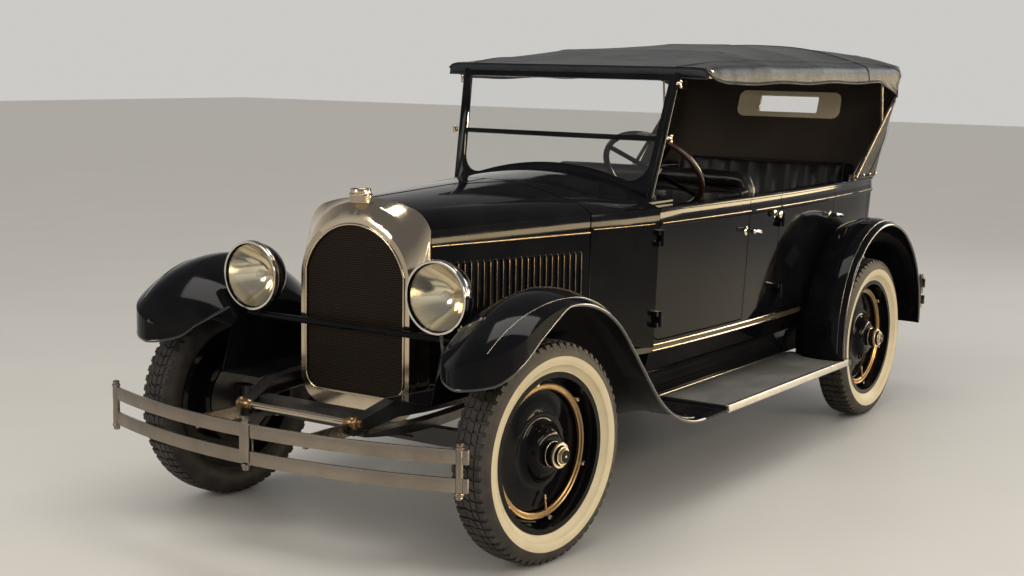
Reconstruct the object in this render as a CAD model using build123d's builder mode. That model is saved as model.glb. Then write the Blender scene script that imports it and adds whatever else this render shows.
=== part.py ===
from build123d import *
from math import asin, atan2, cos, degrees, hypot, radians, sin, sqrt, tan
import os

os.makedirs("parts", exist_ok=True)

# Open touring car of the 1920s. X runs forward, Y to the car's left, Z up from the floor.
# The origin is on the floor, midway between the faces of the two bumpers.
wheelbase = 2864.0
track = 1440.0
front_reach = 675.0
rear_reach = 996.0
tyre_radius = 381.0
tyre_width = 147.0
steer_at_rest = 6.0
kingpin_y = 620.0
fit = 0.3
door_gap = 5.0

front_axle_x = (wheelbase + rear_reach - front_reach) / 2
rear_axle_x = front_axle_x - wheelbase
axle_z = tyre_radius
half_track = track / 2
tyre_half = tyre_width / 2

# Lines that several pieces share: the steering column's axis and the torque tube's.
column_rake = 42.0
hub_x = front_axle_x - 1450
hub_y = 330.0
hub_z = 1232.0
grip_radius = 215.0
grip_thick = 13.0
jacket_radius = 19.0
shaft_radius = 12.0
rake = radians(column_rake)
column_axis = Vector(cos(rake), 0, -sin(rake))
hub_point = Vector(hub_x, hub_y, hub_z)
column_length = (front_axle_x - 660 - hub_x) / cos(rake)
socket_depth = 60.0
tube_start = Vector(rear_axle_x, 0, axle_z)
tube_end = Vector(front_axle_x - 1230, 0, 470)
tube_radius = 38.0

# Tyres: a rounded casing with a nearly flat tread, seated between the rim's flanges.
bead_radius = 262.0
bead_half = 48.0
tread_half = 46.0
flange_radius = 277.0

with BuildPart() as tyre_form:
    with BuildSketch(Plane.YZ):
        with BuildLine():
            Line((-bead_half, bead_radius), (bead_half, bead_radius))
            Line((bead_half, bead_radius), (bead_half, flange_radius))
            ThreePointArc((bead_half, flange_radius), (tyre_half, 322), (62, 360))
            ThreePointArc((62, 360), (56, 370), (tread_half, tyre_radius - 3))
            ThreePointArc((tread_half, tyre_radius - 3), (0, tyre_radius), (-tread_half, tyre_radius - 3))
            ThreePointArc((-tread_half, tyre_radius - 3), (-56, 370), (-62, 360))
            ThreePointArc((-62, 360), (-tyre_half, 322), (-bead_half, flange_radius))
            Line((-bead_half, flange_radius), (-bead_half, bead_radius))
        make_face()
    revolve(axis=Axis.Y)

# Disc wheel: a deep rim, a dished steel disc held by a clamping ring with six lugs, a domed
# hub with a stepped cap, and the brake drum behind the disc.
rim_half = bead_half + fit + 6
drum_radius = 178.0
drum_inner = 158.0
drum_lip = 66.0
spindle_radius = 15.0
hub_radius = 42.0
hub_back = 52.0
hub_front = 52.0
ring_radius = 231.0
lug_count = 6

with BuildPart() as wheel_form:
    with BuildSketch(Plane.YZ):
        with BuildLine():
            Polyline(
                (rim_half, flange_radius),
                (bead_half + fit, flange_radius),
                (bead_half + fit, bead_radius - fit),
                (-bead_half - fit, bead_radius - fit),
                (-bead_half - fit, flange_radius),
                (-rim_half, flange_radius),
                (-rim_half, bead_radius - 6),
                (-14, bead_radius - 9),
            )
            ThreePointArc((-14, bead_radius - 9), (-12, 214), (-10, drum_radius))
            Polyline(
                (-10, drum_radius),
                (-drum_lip, drum_radius),
                (-drum_lip, drum_inner),
                (-16, drum_inner),
                (0, 110),
                (14, 80),
                (28, hub_radius),
                (-hub_back, hub_radius),
                (-hub_back, spindle_radius + fit),
                (hub_front - 6, spindle_radius + fit),
                (hub_front - 6, 0),
                (118, 0),
                (118, 22),
                (108, 22),
                (106, 34),
                (96, 36),
                (94, 43),
                (60, 43),
                (58, 38),
                (hub_front, 38),
                (hub_front, 46),
            )
            ThreePointArc((hub_front, 46), (44, 78), (22, 94))
            ThreePointArc((22, 94), (12, 104), (6, 128))
            ThreePointArc((6, 128), (-6, 190), (-8, bead_radius - 10))
            Polyline((-8, bead_radius - 10), (rim_half, bead_radius - 4), (rim_half, flange_radius))
        make_face()
    revolve(axis=Axis.Y)
    with BuildSketch(Plane.XZ.offset(10)):
        Circle(ring_radius + 7)
        Circle(ring_radius - 7, mode=Mode.SUBTRACT)
    extrude(amount=-18)
    with BuildSketch(Plane.XZ.offset(10)):
        with PolarLocations(ring_radius + 9, lug_count, start_angle=20):
            Circle(8)
    extrude(amount=-27)

corners = [
    # name, pivot x, pivot y, distance out from the pivot, yaw
    ("front_left", front_axle_x, kingpin_y, half_track - kingpin_y, -steer_at_rest),
    ("front_right", front_axle_x, -kingpin_y, half_track - kingpin_y, 180 - steer_at_rest),
    ("rear_left", rear_axle_x, 0, half_track, 0),
    ("rear_right", rear_axle_x, 0, half_track, 180),
]
for name, pivot_x, pivot_y, outset, yaw in corners:
    seat = Pos(pivot_x, pivot_y, axle_z) * Rot(0, 0, yaw) * Pos(0, outset, 0)
    with BuildPart() as tyre:
        add(seat * tyre_form.part)
    tyre.part.label = "tyre_" + name
    export_step(tyre.part, "parts/tyre_" + name + ".step")
    with BuildPart() as wheel:
        add(seat * wheel_form.part)
    wheel.part.label = "wheel_" + name
    export_step(wheel.part, "parts/wheel_" + name + ".step")

# Frame: two channel rails that spread from narrow front horns, rise over the rear axle and
# are tied by cross members, with the spare wheel's carrier at the tail.
rail_wall = 6.0
rail_width = 50.0
horn_x = front_axle_x + 430
horn_y = 237.0
rail_y = 390.0
rail_bend_x = front_axle_x + 130
rail_bend_y = 308.0
rail_spread_x = front_axle_x - 700
rail_end_x = rear_axle_x - 500
rail_base = 430.0
rail_top = 530.0
kick_lift = 80.0
kick_front_x = rear_axle_x + 560
kick_back_x = rear_axle_x - 360
horn_base = 442.0
front_rail_base = 482.0
front_rail_top = 548.0
hanger_x = front_axle_x - 400
tail_x = front_axle_x - 3460
spare_x = front_axle_x - 3560
spare_z = 690.0

with BuildSketch(Plane.XZ) as rail_side:
    with BuildLine():
        Polyline(
            (horn_x, horn_base),
            (front_axle_x + 250, front_rail_base),
            (front_axle_x - 250, front_rail_base),
            (front_axle_x - 620, rail_base),
            (kick_front_x, rail_base),
            (rear_axle_x + 260, rail_base + kick_lift),
            (rear_axle_x - 160, rail_base + kick_lift),
            (kick_back_x, rail_base + 40),
            (rail_end_x, rail_base + 30),
            (rail_end_x, rail_top + 10),
            (kick_back_x, rail_top + 30),
            (rear_axle_x - 160, rail_top + kick_lift - 10),
            (rear_axle_x + 260, rail_top + kick_lift - 10),
            (kick_front_x, rail_top),
            (front_axle_x - 620, rail_top),
            (front_axle_x - 250, front_rail_top),
            (front_axle_x + 250, front_rail_top - 4),
            (horn_x, horn_base + 40),
            close=True,
        )
    make_face()

with BuildPart() as rail_hollow:
    with BuildSketch(Plane.XZ):
        add(rail_side.sketch)
        offset(amount=-rail_wall, mode=Mode.REPLACE)
    extrude(amount=-500)
    with BuildSketch(Plane.XY.offset(300)):
        with BuildLine():
            Polyline(
                (horn_x, 0),
                (rail_end_x - 50, 0),
                (rail_end_x - 50, rail_y + rail_width / 2 - rail_wall),
                (rail_spread_x, rail_y + rail_width / 2 - rail_wall),
                (rail_bend_x, rail_bend_y + rail_width / 2 - rail_wall),
                (horn_x, horn_y + rail_width / 2 - rail_wall),
                close=True,
            )
        make_face()
    extrude(amount=500, mode=Mode.INTERSECT)


def rail_centre(x):
    if x > rail_bend_x:
        return horn_y + (rail_bend_y - horn_y) * (horn_x - x) / (horn_x - rail_bend_x)
    spread = min(1, (rail_bend_x - x) / (rail_bend_x - rail_spread_x))
    return rail_bend_y + (rail_y - rail_bend_y) * spread


cross_members = [
    # x, centre height, length along x, height
    (front_axle_x + 330, 488, 60, 26),
    (front_axle_x - 2, 515, 64, 40),
    (front_axle_x - 1290, 480, 80, 60),
    (front_axle_x - 1700, 480, 70, 60),
    (rear_axle_x + 60, 565, 90, 50),
    (rail_end_x + 40, 500, 60, 50),
]
with BuildPart() as frame:
    with BuildSketch(Plane.XY.offset(300)):
        with BuildLine():
            Polyline(
                (horn_x, horn_y - rail_width / 2),
                (rail_bend_x, rail_bend_y - rail_width / 2),
                (rail_spread_x, rail_y - rail_width / 2),
                (rail_end_x, rail_y - rail_width / 2),
                (rail_end_x, rail_y + rail_width / 2),
                (rail_spread_x, rail_y + rail_width / 2),
                (rail_bend_x, rail_bend_y + rail_width / 2),
                (horn_x, horn_y + rail_width / 2),
                close=True,
            )
        make_face()
    extrude(amount=500)
    with BuildSketch(Plane.XZ):
        add(rail_side.sketch)
    extrude(amount=-500, mode=Mode.INTERSECT)
    add(rail_hollow.part, mode=Mode.SUBTRACT)
    mirror(about=Plane.XZ)
    for x, z, length, height in cross_members:
        reach = rail_centre(x + length / 2) + rail_width / 2 - rail_wall / 2
        with Locations((x, 0, z)):
            Box(length, 2 * reach, height)
    with Locations((hanger_x, 300, 478), (hanger_x, -300, 478)):
        Box(50, 140, 44)
    with BuildSketch(Plane(origin=tube_start, z_dir=tube_end - tube_start)):
        Circle(tube_radius + 10)
    extrude(amount=wheelbase, mode=Mode.SUBTRACT)
    with BuildSketch(Plane.XZ.offset(-90)):
        with BuildLine():
            Polyline(
                (rail_end_x + 10, rail_base + 45),
                (tail_x - 24, rail_base + 45),
                (tail_x - 24, spare_z + 60),
                (tail_x - 8, spare_z + 60),
                (tail_x - 8, rail_top - 5),
                (rail_end_x + 10, rail_top - 5),
                close=True,
            )
        make_face()
    extrude(amount=180)
    with BuildSketch(Plane.YZ.offset(tail_x - 16)):
        with Locations((0, spare_z)):
            Circle(48)
    extrude(amount=-(tail_x - 16 - spare_x + 8))
frame.part.label = "frame"
export_step(frame.part, "parts/frame.step")

# Leaf springs: two long packs under the front of the rails and two under the kick of the rear.
spring_width = 50.0
leaf_pack = 34.0
front_spring_y = horn_y + 20
front_seat_z = 400.0
housing_radius = 42.0
rear_seat_z = axle_z + housing_radius + fit
springs_table = [
    # centre x, y, half length, seat height, eye height
    (front_axle_x, front_spring_y, 400, front_seat_z, 436),
    (rear_axle_x, rail_y, 480, rear_seat_z, 436),
]
with BuildPart() as springs:
    for x, y, half, seat_z, eye_z in springs_table:
        with BuildSketch(Plane.XZ.offset(-(y - spring_width / 2))):
            with BuildLine():
                ThreePointArc((x - half, eye_z), (x, seat_z), (x + half, eye_z))
                Line((x + half, eye_z), (x + half, eye_z + 8))
                Line((x + half, eye_z + 8), (x + 60, seat_z + leaf_pack))
                Line((x + 60, seat_z + leaf_pack), (x - 60, seat_z + leaf_pack))
                Line((x - 60, seat_z + leaf_pack), (x - half, eye_z + 8))
                Line((x - half, eye_z + 8), (x - half, eye_z))
            make_face()
        extrude(amount=-spring_width)
        for end in (-1, 1):
            with Locations((x + end * (half - 14), y, eye_z + 12)):
                Box(24, spring_width - 8, 22)
    mirror(about=Plane.XZ)
    add(frame.part, mode=Mode.SUBTRACT)
springs.part.label = "springs"
export_step(springs.part, "parts/springs.step")

# Front axle: a dropped I beam with a boss at each end, bored for the kingpin.
boss_radius = 24.0
boss_half = 35.0
pin_radius = 11.0
beam_half = 22.0
with BuildPart() as front_axle:
    with BuildSketch(Plane.YZ.offset(front_axle_x - beam_half)):
        with BuildLine():
            Polyline(
                (-kingpin_y, axle_z - 24),
                (-kingpin_y + 60, axle_z - 30),
                (-front_spring_y - 60, front_seat_z - 62),
                (front_spring_y + 60, front_seat_z - 62),
                (kingpin_y - 60, axle_z - 30),
                (kingpin_y, axle_z - 24),
                (kingpin_y, axle_z + 24),
                (kingpin_y - 60, axle_z + 24),
                (front_spring_y + 50, front_seat_z),
                (-front_spring_y - 50, front_seat_z),
                (-kingpin_y + 60, axle_z + 24),
                (-kingpin_y, axle_z + 24),
                close=True,
            )
        make_face()
    extrude(amount=2 * beam_half)
    for side in (1, -1):
        with Locations((front_axle_x + side * beam_half, 0, front_seat_z - 31)):
            Box(26, 2 * (front_spring_y - 60), 36, mode=Mode.SUBTRACT)
        with Locations((front_axle_x, side * kingpin_y, axle_z)):
            Cylinder(boss_radius, 2 * boss_half)
            Cylinder(pin_radius + fit, 4 * boss_half, mode=Mode.SUBTRACT)
front_axle.part.label = "front_axle"
export_step(front_axle.part, "parts/front_axle.step")

# Steering knuckles: a yoke of two ears on the kingpin, the spindle, the brake backing plate and
# an arm that reaches back to the tie rod.
ear_thick = 16.0
yoke_top = boss_half + fit + ear_thick
arm_back = 150.0
arm_z = -yoke_top - 8
arm_pin_radius = 8.0
spindle_tip = half_track - kingpin_y + hub_front - 8
plate_y = half_track - kingpin_y - drum_lip + 4
rod_half = 12.0

with BuildPart() as knuckle_form:
    with Locations((0, 0, yoke_top - ear_thick / 2), (0, 0, -yoke_top + ear_thick / 2)):
        Cylinder(boss_radius, ear_thick)
        with Locations((0, 20, 0)):
            Box(2 * boss_radius - 4, 40, ear_thick)
    Cylinder(pin_radius, 2 * yoke_top)
    with Locations((0, 35, 0)):
        Box(44, 10, 2 * yoke_top)
    with BuildSketch(Plane.XZ.offset(-34)):
        Circle(spindle_radius)
    extrude(amount=-(spindle_tip - 34))
    with BuildSketch(Plane.XZ.offset(-34)):
        Circle(drum_inner - 8)
    extrude(amount=-(plate_y - 34))
    with Locations((-arm_back / 2, 0, arm_z + 3)):
        Box(arm_back, 30, 10)
    with Locations((-arm_back, 0, arm_z + 3)):
        Cylinder(15, 10)
    with Locations((-arm_back, 0, arm_z - 14)):
        Cylinder(arm_pin_radius, 34)

for name, pivot_y, flip in (("knuckle_left", kingpin_y, 0), ("knuckle_right", -kingpin_y, 1)):
    with BuildPart() as knuckle:
        if flip:
            shape = mirror(knuckle_form.part, about=Plane.XZ, mode=Mode.PRIVATE)
        else:
            shape = knuckle_form.part
        add(Pos(front_axle_x, pivot_y, axle_z) * Rot(0, 0, -steer_at_rest) * shape)
    knuckle.part.label = name
    export_step(knuckle.part, "parts/" + name + ".step")

# Tie rod: a tube with an eye at each end, one on each knuckle's pin.
rod_x = front_axle_x - arm_back * cos(radians(steer_at_rest))
rod_shift = arm_back * sin(radians(steer_at_rest))
rod_z = axle_z + arm_z - 20
with BuildPart() as tie_rod:
    with BuildSketch(Plane.XZ.offset(kingpin_y - rod_shift - 14)):
        with Locations((rod_x, rod_z)):
            Circle(rod_half)
    extrude(amount=-(2 * kingpin_y - 28))
    with Locations((rod_x, kingpin_y + rod_shift, rod_z), (rod_x, -kingpin_y + rod_shift, rod_z)):
        Cylinder(17, 2 * rod_half)
        Cylinder(arm_pin_radius + fit, 4 * rod_half, mode=Mode.SUBTRACT)
tie_rod.part.label = "tie_rod"
export_step(tie_rod.part, "parts/tie_rod.step")

# Rear axle: tapered housings from a round differential case, a backing plate and a stub for
# each wheel, and the torque tube that runs forward to the gearbox.
with BuildPart() as rear_axle:
    with BuildSketch(Plane.XY.offset(axle_z)):
        with BuildLine():
            Line((rear_axle_x, -half_track - hub_front + 8), (rear_axle_x, half_track + hub_front - 8))
            Polyline(
                (rear_axle_x, half_track + hub_front - 8),
                (rear_axle_x + spindle_radius, half_track + hub_front - 8),
                (rear_axle_x + spindle_radius, half_track - drum_lip + 4),
                (rear_axle_x + drum_inner - 8, half_track - drum_lip + 4),
                (rear_axle_x + drum_inner - 8, half_track - drum_lip - 4),
                (rear_axle_x + housing_radius, half_track - drum_lip - 4),
                (rear_axle_x + housing_radius, 190),
                (rear_axle_x + 100, 110),
            )
            ThreePointArc((rear_axle_x + 100, 110), (rear_axle_x + 140, 0), (rear_axle_x + 100, -110))
            Polyline(
                (rear_axle_x + 100, -110),
                (rear_axle_x + housing_radius, -190),
                (rear_axle_x + housing_radius, -half_track + drum_lip + 4),
                (rear_axle_x + drum_inner - 8, -half_track + drum_lip + 4),
                (rear_axle_x + drum_inner - 8, -half_track + drum_lip - 4),
                (rear_axle_x + spindle_radius, -half_track + drum_lip - 4),
                (rear_axle_x + spindle_radius, -half_track - hub_front + 8),
                (rear_axle_x, -half_track - hub_front + 8),
            )
        make_face()
    revolve(axis=Axis((rear_axle_x, 0, axle_z), (0, 1, 0)))
    with BuildSketch(Plane(origin=tube_start, z_dir=tube_end - tube_start)):
        Circle(tube_radius)
    extrude(amount=(tube_end - tube_start).length)
rear_axle.part.label = "rear_axle"
export_step(rear_axle.part, "parts/rear_axle.step")

# Engine: crankcase and cylinder block with a finned cover, sump, bell housing, gearbox and fan.
engine_front_x = front_axle_x - 70
engine_back_x = front_axle_x - 640
engine_mid_x = (engine_front_x + engine_back_x) / 2
crank_z = 560.0
block_half = 95.0
crankcase_half = 150.0
with BuildPart() as engine:
    with Locations((engine_mid_x, 0, 610)):
        Box(engine_front_x - engine_back_x, 2 * crankcase_half, 160)
    with Locations((engine_mid_x - 10, 0, 790)):
        Box(engine_front_x - engine_back_x - 60, 2 * block_half, 200)
    with Locations((engine_mid_x - 10, 0, 910)):
        Box(engine_front_x - engine_back_x - 100, 150, 40)
    with Locations((engine_mid_x, 0, 495)):
        Box(engine_front_x - engine_back_x - 60, 200, 70)
    with BuildSketch(Plane.YZ.offset(engine_back_x)):
        with Locations((0, crank_z)):
            Circle(160)
    with BuildSketch(Plane.YZ.offset(engine_back_x - 190)):
        with Locations((0, crank_z - 40)):
            Circle(110)
    loft()
    with BuildSketch(Plane.YZ.offset(engine_back_x - 190)):
        with Locations((0, crank_z - 90)):
            RectangleRounded(190, 150, 30)
    extrude(amount=-(engine_back_x - 190 - tube_end.X - 2.4))
    with BuildSketch(Plane.YZ.offset(engine_front_x)):
        with Locations((0, crank_z)):
            Circle(60)
    extrude(amount=26)
    with BuildSketch(Plane.YZ.offset(engine_front_x - 60)):
        with Locations((0, 760)):
            Circle(22)
    extrude(amount=86)
    with Locations((engine_front_x + 16, 0, 523)):
        Box(36, 160, 46)
    with Locations((engine_back_x - 106, 0, rail_top + 10)):
        Box(40, 2 * rail_y, 20)
    for turn in (45, 135):
        with Locations(Location((engine_front_x + 24, 0, 760), (turn, 0, 0))):
            Box(4, 360, 56)
engine.part.label = "engine"
export_step(engine.part, "parts/engine.step")

# Exhaust: a pipe down the right side to a silencer and a tail pipe behind the rear axle.
pipe_y = -300.0
pipe_z = 400.0
with BuildPart() as exhaust:
    with BuildSketch(Plane.YZ.offset(rear_axle_x + 700)):
        with Locations((pipe_y, pipe_z)):
            Circle(22)
    extrude(amount=front_axle_x - 560 - rear_axle_x - 700)
    with BuildSketch(Plane.YZ.offset(rear_axle_x + 500)):
        with Locations((pipe_y, pipe_z)):
            Circle(62)
    extrude(amount=560)
    with BuildSketch(Plane.XZ.offset(-pipe_y - 14)) as pipe_rise:
        with Locations((front_axle_x - 560, 535)):
            Rectangle(40, 314)
    extrude(amount=28)
    with Locations((front_axle_x - 560, (pipe_y - crankcase_half - fit) / 2, 672)):
        Box(40, -pipe_y - crankcase_half - fit, 36)
    with Locations((rear_axle_x + 960, pipe_y - 62, rail_base - fit - 5)):
        Box(40, 66, 10)
exhaust.part.label = "exhaust"
export_step(exhaust.part, "parts/exhaust.step")

# Radiator shell: a plated arch that swells backwards, open at the front for the core, with a
# plain filler cap on top.
shell_front_x = front_axle_x + 115
shell_back_x = front_axle_x + 30
shell_foot = 402.0
shell_top = 1196.0
mouth_half = 222.0
mouth_foot = 500.0
mouth_top = 1106.0
shell_lip = 24.0
shell_wall = 5.0

shell_rings = [
    # x, half width, side top, corner y, corner z, top, foot, bow below and above the corner
    (shell_front_x, mouth_half + shell_lip, 900, 174, 1062, shell_top - 62, shell_foot + 30, 18.7, 18.7),
    (shell_front_x - 30, mouth_half + 42, 915, 187, 1107, shell_top - 12, shell_foot, 20, 20),
    (shell_back_x, mouth_half + 50, 1096, 192, 1168, shell_top + 1, shell_foot + 40, 13, 7),
]
with BuildPart() as radiator_shell:
    for inset, kind in ((0, Mode.ADD), (shell_wall, Mode.SUBTRACT)):
        for x, half, side_top, corner_y, corner_z, top, foot, lower_bow, upper_bow in shell_rings:
            half = half - inset
            foot = foot + inset
            corner_y = corner_y - inset * 0.7
            corner_z = corner_z - inset * 0.7
            with BuildSketch(Plane.YZ.offset(x - inset)):
                with BuildLine():
                    SagittaArc((-half, side_top), (-corner_y, corner_z), lower_bow)
                    SagittaArc((-corner_y, corner_z), (0, top - inset), upper_bow)
                    SagittaArc((0, top - inset), (corner_y, corner_z), upper_bow)
                    SagittaArc((corner_y, corner_z), (half, side_top), lower_bow)
                    Line((half, side_top), (half, foot + 110))
                    ThreePointArc((half, foot + 110), (half * 0.82, foot + 34), (half * 0.5, foot + 12))
                    ThreePointArc((half * 0.5, foot + 12), (0, foot), (-half * 0.5, foot + 12))
                    ThreePointArc((-half * 0.5, foot + 12), (-half * 0.82, foot + 34), (-half, foot + 110))
                    Line((-half, foot + 110), (-half, side_top))
                make_face()
        loft(ruled=True, mode=kind)
    with BuildSketch(Plane.YZ.offset(shell_back_x - 10)) as mouth:
        with BuildLine():
            ThreePointArc((-mouth_half, 935), (0, mouth_top), (mouth_half, 935))
            Line((mouth_half, 935), (mouth_half, mouth_foot + 60))
            ThreePointArc((mouth_half, mouth_foot + 60), (mouth_half - 18, mouth_foot + 18), (mouth_half - 60, mouth_foot))
            Line((mouth_half - 60, mouth_foot), (-mouth_half + 60, mouth_foot))
            ThreePointArc((-mouth_half + 60, mouth_foot), (-mouth_half + 18, mouth_foot + 18), (-mouth_half, mouth_foot + 60))
            Line((-mouth_half, mouth_foot + 60), (-mouth_half, 935))
        make_face()
    extrude(amount=120, mode=Mode.SUBTRACT)
    with BuildSketch(Plane(origin=(shell_front_x - 36, 0, shell_top - 14), z_dir=(0, 0, 1))):
        Circle(40)
    extrude(amount=26)
    with BuildSketch(Plane(origin=(shell_front_x - 36, 0, shell_top + 12), z_dir=(0, 0, 1))):
        Circle(34)
    extrude(amount=26, taper=20)
radiator_shell.part.label = "radiator_shell"
export_step(radiator_shell.part, "parts/radiator_shell.step")

# Radiator core: a thick slab behind the shell's mouth, held against its lip.
core_margin = 9.0
core_thick = 58.0
with BuildPart() as radiator_core:
    with BuildSketch(Plane.YZ.offset(shell_front_x - shell_wall - core_thick)):
        add(mouth.sketch_local)
        offset(amount=core_margin, mode=Mode.REPLACE)
    extrude(amount=core_thick)
radiator_core.part.label = "radiator_core"
export_step(radiator_core.part, "parts/radiator_core.step")

# Headlamps: two deep bowls on posts from a bar that runs between the front fenders.
lamp_x = front_axle_x + 185
lamp_y = 419.0
lamp_z = 895.0
lamp_radius = 127.0
lens_radius = 116.0
bar_x = front_axle_x + 150
bar_z = 748.0
apron_y = 470.0
lamp_plane = Plane(origin=(lamp_x, lamp_y, lamp_z), x_dir=(1, 0, 0), z_dir=(0, -1, 0))
lamp_axis = Axis((lamp_x, lamp_y, lamp_z), (1, 0, 0))
with BuildPart() as headlamps:
    with BuildSketch(lamp_plane):
        with BuildLine():
            Line((-125, 0), (-125, 16))
            ThreePointArc((-125, 16), (-88, 86), (-5, 122))
            Polyline((-5, 122), (-5, lamp_radius), (10, lamp_radius), (16, 122), (16, lens_radius + fit))
            Polyline((16, lens_radius + fit), (-4, lens_radius + fit))
            ThreePointArc((-4, lens_radius + fit), (-85, 82), (-121, 14))
            Polyline((-121, 14), (-121, 0), (-125, 0))
        make_face()
    revolve(axis=lamp_axis)
    with Locations((bar_x, lamp_y, (bar_z + lamp_z - lamp_radius + 12) / 2)):
        Cylinder(11, lamp_z - lamp_radius + 12 - bar_z)
    with BuildSketch(Plane.XZ.offset(-apron_y)):
        with Locations((bar_x, bar_z)):
            Circle(12)
    extrude(amount=apron_y)
    mirror(about=Plane.XZ)
headlamps.part.label = "headlamps"
export_step(headlamps.part, "parts/headlamps.step")

# Headlamp lenses: a slightly bowed glass in each rim.
with BuildPart() as headlamp_lenses:
    with BuildSketch(lamp_plane):
        with BuildLine():
            Line((14, 0), (14, 8))
            ThreePointArc((14, 8), (12, 60), (6, lens_radius))
            Line((6, lens_radius), (0, lens_radius))
            ThreePointArc((0, lens_radius), (7, 60), (9, 8))
            Polyline((9, 8), (9, 0), (14, 0))
        make_face()
    revolve(axis=lamp_axis)
    mirror(about=Plane.XZ)
headlamp_lenses.part.label = "headlamp_lenses"
export_step(headlamp_lenses.part, "parts/headlamp_lenses.step")

# Bumpers: two flat spring bars each, bowed in plan, joined by a centre clamp and end bolts and
# carried by two arms from the frame.
bar_thick = 9.0
bar_height = 46.0
bumper_half = 790.0
bumper_front_x = front_axle_x + front_reach
bumper_back_x = rear_axle_x - rear_reach
front_sweep = 150.0
rear_sweep = 80.0
bumpers = [
    # name, face x, facing, sweep, half width, heights of the bars, arm height, arm end x, arm's y
    ("front_bumper", bumper_front_x, 1, front_sweep, bumper_half, (381, 472), 462, horn_x, horn_y),
    ("rear_bumper", bumper_back_x, -1, rear_sweep, 725, (452, 541), 496, rail_end_x, rail_y),
]
for name, face_x, facing, sweep, half, heights, hold_z, hold_x, hold_y in bumpers:
    with BuildPart() as bumper:
        for z in heights:
            with BuildSketch(Plane.XY.offset(z - bar_height / 2)):
                with BuildLine():
                    ThreePointArc(
                        (face_x - facing * sweep, -half),
                        (face_x, 0),
                        (face_x - facing * sweep, half),
                    )
                    Line((face_x - facing * sweep, half), (face_x - facing * (sweep + bar_thick), half))
                    ThreePointArc(
                        (face_x - facing * (sweep + bar_thick), half),
                        (face_x - facing * bar_thick, 0),
                        (face_x - facing * (sweep + bar_thick), -half),
                    )
                    Line((face_x - facing * (sweep + bar_thick), -half), (face_x - facing * sweep, -half))
                make_face()
            extrude(amount=bar_height)
        middle = (heights[0] + heights[1]) / 2
        span = heights[1] - heights[0]
        with Locations((face_x - facing * (bar_thick + 5), 0, middle)):
            Box(10, 44, span + bar_height)
        for side in (1, -1):
            with Locations((face_x - facing * (sweep - 6), side * (half - 26), middle)):
                Cylinder(12, span + bar_height + 20)
            bow_x = face_x - facing * (sweep * (hold_y / half) ** 2 + bar_thick)
            with Locations(((bow_x + hold_x) / 2, side * hold_y, hold_z)):
                Box(abs(bow_x - hold_x), 12, 44)
    bumper.part.label = name
    export_step(bumper.part, "parts/" + name + ".step")

# Front fenders: one crowned wing with a beaded lip follows the wheel, falls in a straight run
# and sweeps out flat to the running board, with an inner apron that stands on the frame.
sheet = 4.0
fender_edge_y = 850.0
front_arch_x = front_axle_x + 20
front_arch_z = 380.0
front_lip = 515.0
front_crown = 558.0
front_inner = 400.0
front_nose_angle = 56.0
front_fall_angle = 47.0
front_fall_run = 300.0
board_top = 340.0
board_inner_y = 527.0
board_front_x = front_axle_x - 1180
board_back_x = front_axle_x - 2476
sweep_radius = 563.0

fall = radians(front_fall_angle)
fall_plane = Plane(
    origin=(front_arch_x, 0, front_arch_z),
    x_dir=(0, 1, 0),
    z_dir=(cos(fall), 0, sin(fall)),
)
sweep_x = front_arch_x - front_lip * sin(fall) - front_fall_run * cos(fall)
sweep_z = front_arch_z + front_lip * cos(fall) - front_fall_run * sin(fall)
wing_sections = [
    # share of the turn left, crown over the lip, inner edge: height and y, middle: height and y
    (1.0, front_crown - front_lip, front_inner - front_lip, apron_y, 498 - front_lip, 573),
    (0.5, 24, -50, 492, 6, 585),
    (0.0, 5, -2, board_inner_y, 3, 610),
]
nose_side_x = front_axle_x + 262
nose_tip_x = front_axle_x + 452
nose_inner_x = front_axle_x + 240
nose_foot = 560.0
nose_plans = []
for inset in (0, sheet + 1.3):
    with BuildSketch(Plane.XY.offset(nose_foot)) as nose_plan:
        with BuildLine():
            ThreePointArc(
                (nose_side_x, fender_edge_y - inset),
                (nose_tip_x - 54 - inset * 0.7, fender_edge_y - 54 - inset * 0.7),
                (nose_tip_x - inset, fender_edge_y - 160),
            )
            ThreePointArc(
                (nose_tip_x - inset, fender_edge_y - 160),
                (nose_tip_x - 32 - inset * 0.8, apron_y + 146 + inset * 0.6),
                (nose_tip_x - 112 - inset * 0.67, apron_y + 90 + inset * 0.74),
            )
            Polyline(
                (nose_tip_x - 112 - inset * 0.67, apron_y + 90 + inset * 0.74),
                (nose_inner_x - inset * 2.6, apron_y - inset),
                (front_axle_x - inset * 10, apron_y - inset),
                (front_axle_x - inset * 10, fender_edge_y - inset),
                (nose_side_x, fender_edge_y - inset),
            )
        make_face()
    nose_plans.append(nose_plan.sketch_local)
with BuildPart() as under_wing:
    with BuildSketch(fall_plane):
        with BuildLine():
            ThreePointArc((apron_y, front_inner), (573, 498), (690, front_crown))
            ThreePointArc((690, front_crown), (790, front_crown - 12), (fender_edge_y, front_lip))
            Polyline((fender_edge_y, front_lip), (fender_edge_y, 300), (apron_y, 300), (apron_y, front_inner))
        make_face()
    revolve(axis=Axis((front_arch_x, 0, front_arch_z), (0, 1, 0)), revolution_arc=front_fall_angle + 75)
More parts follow.
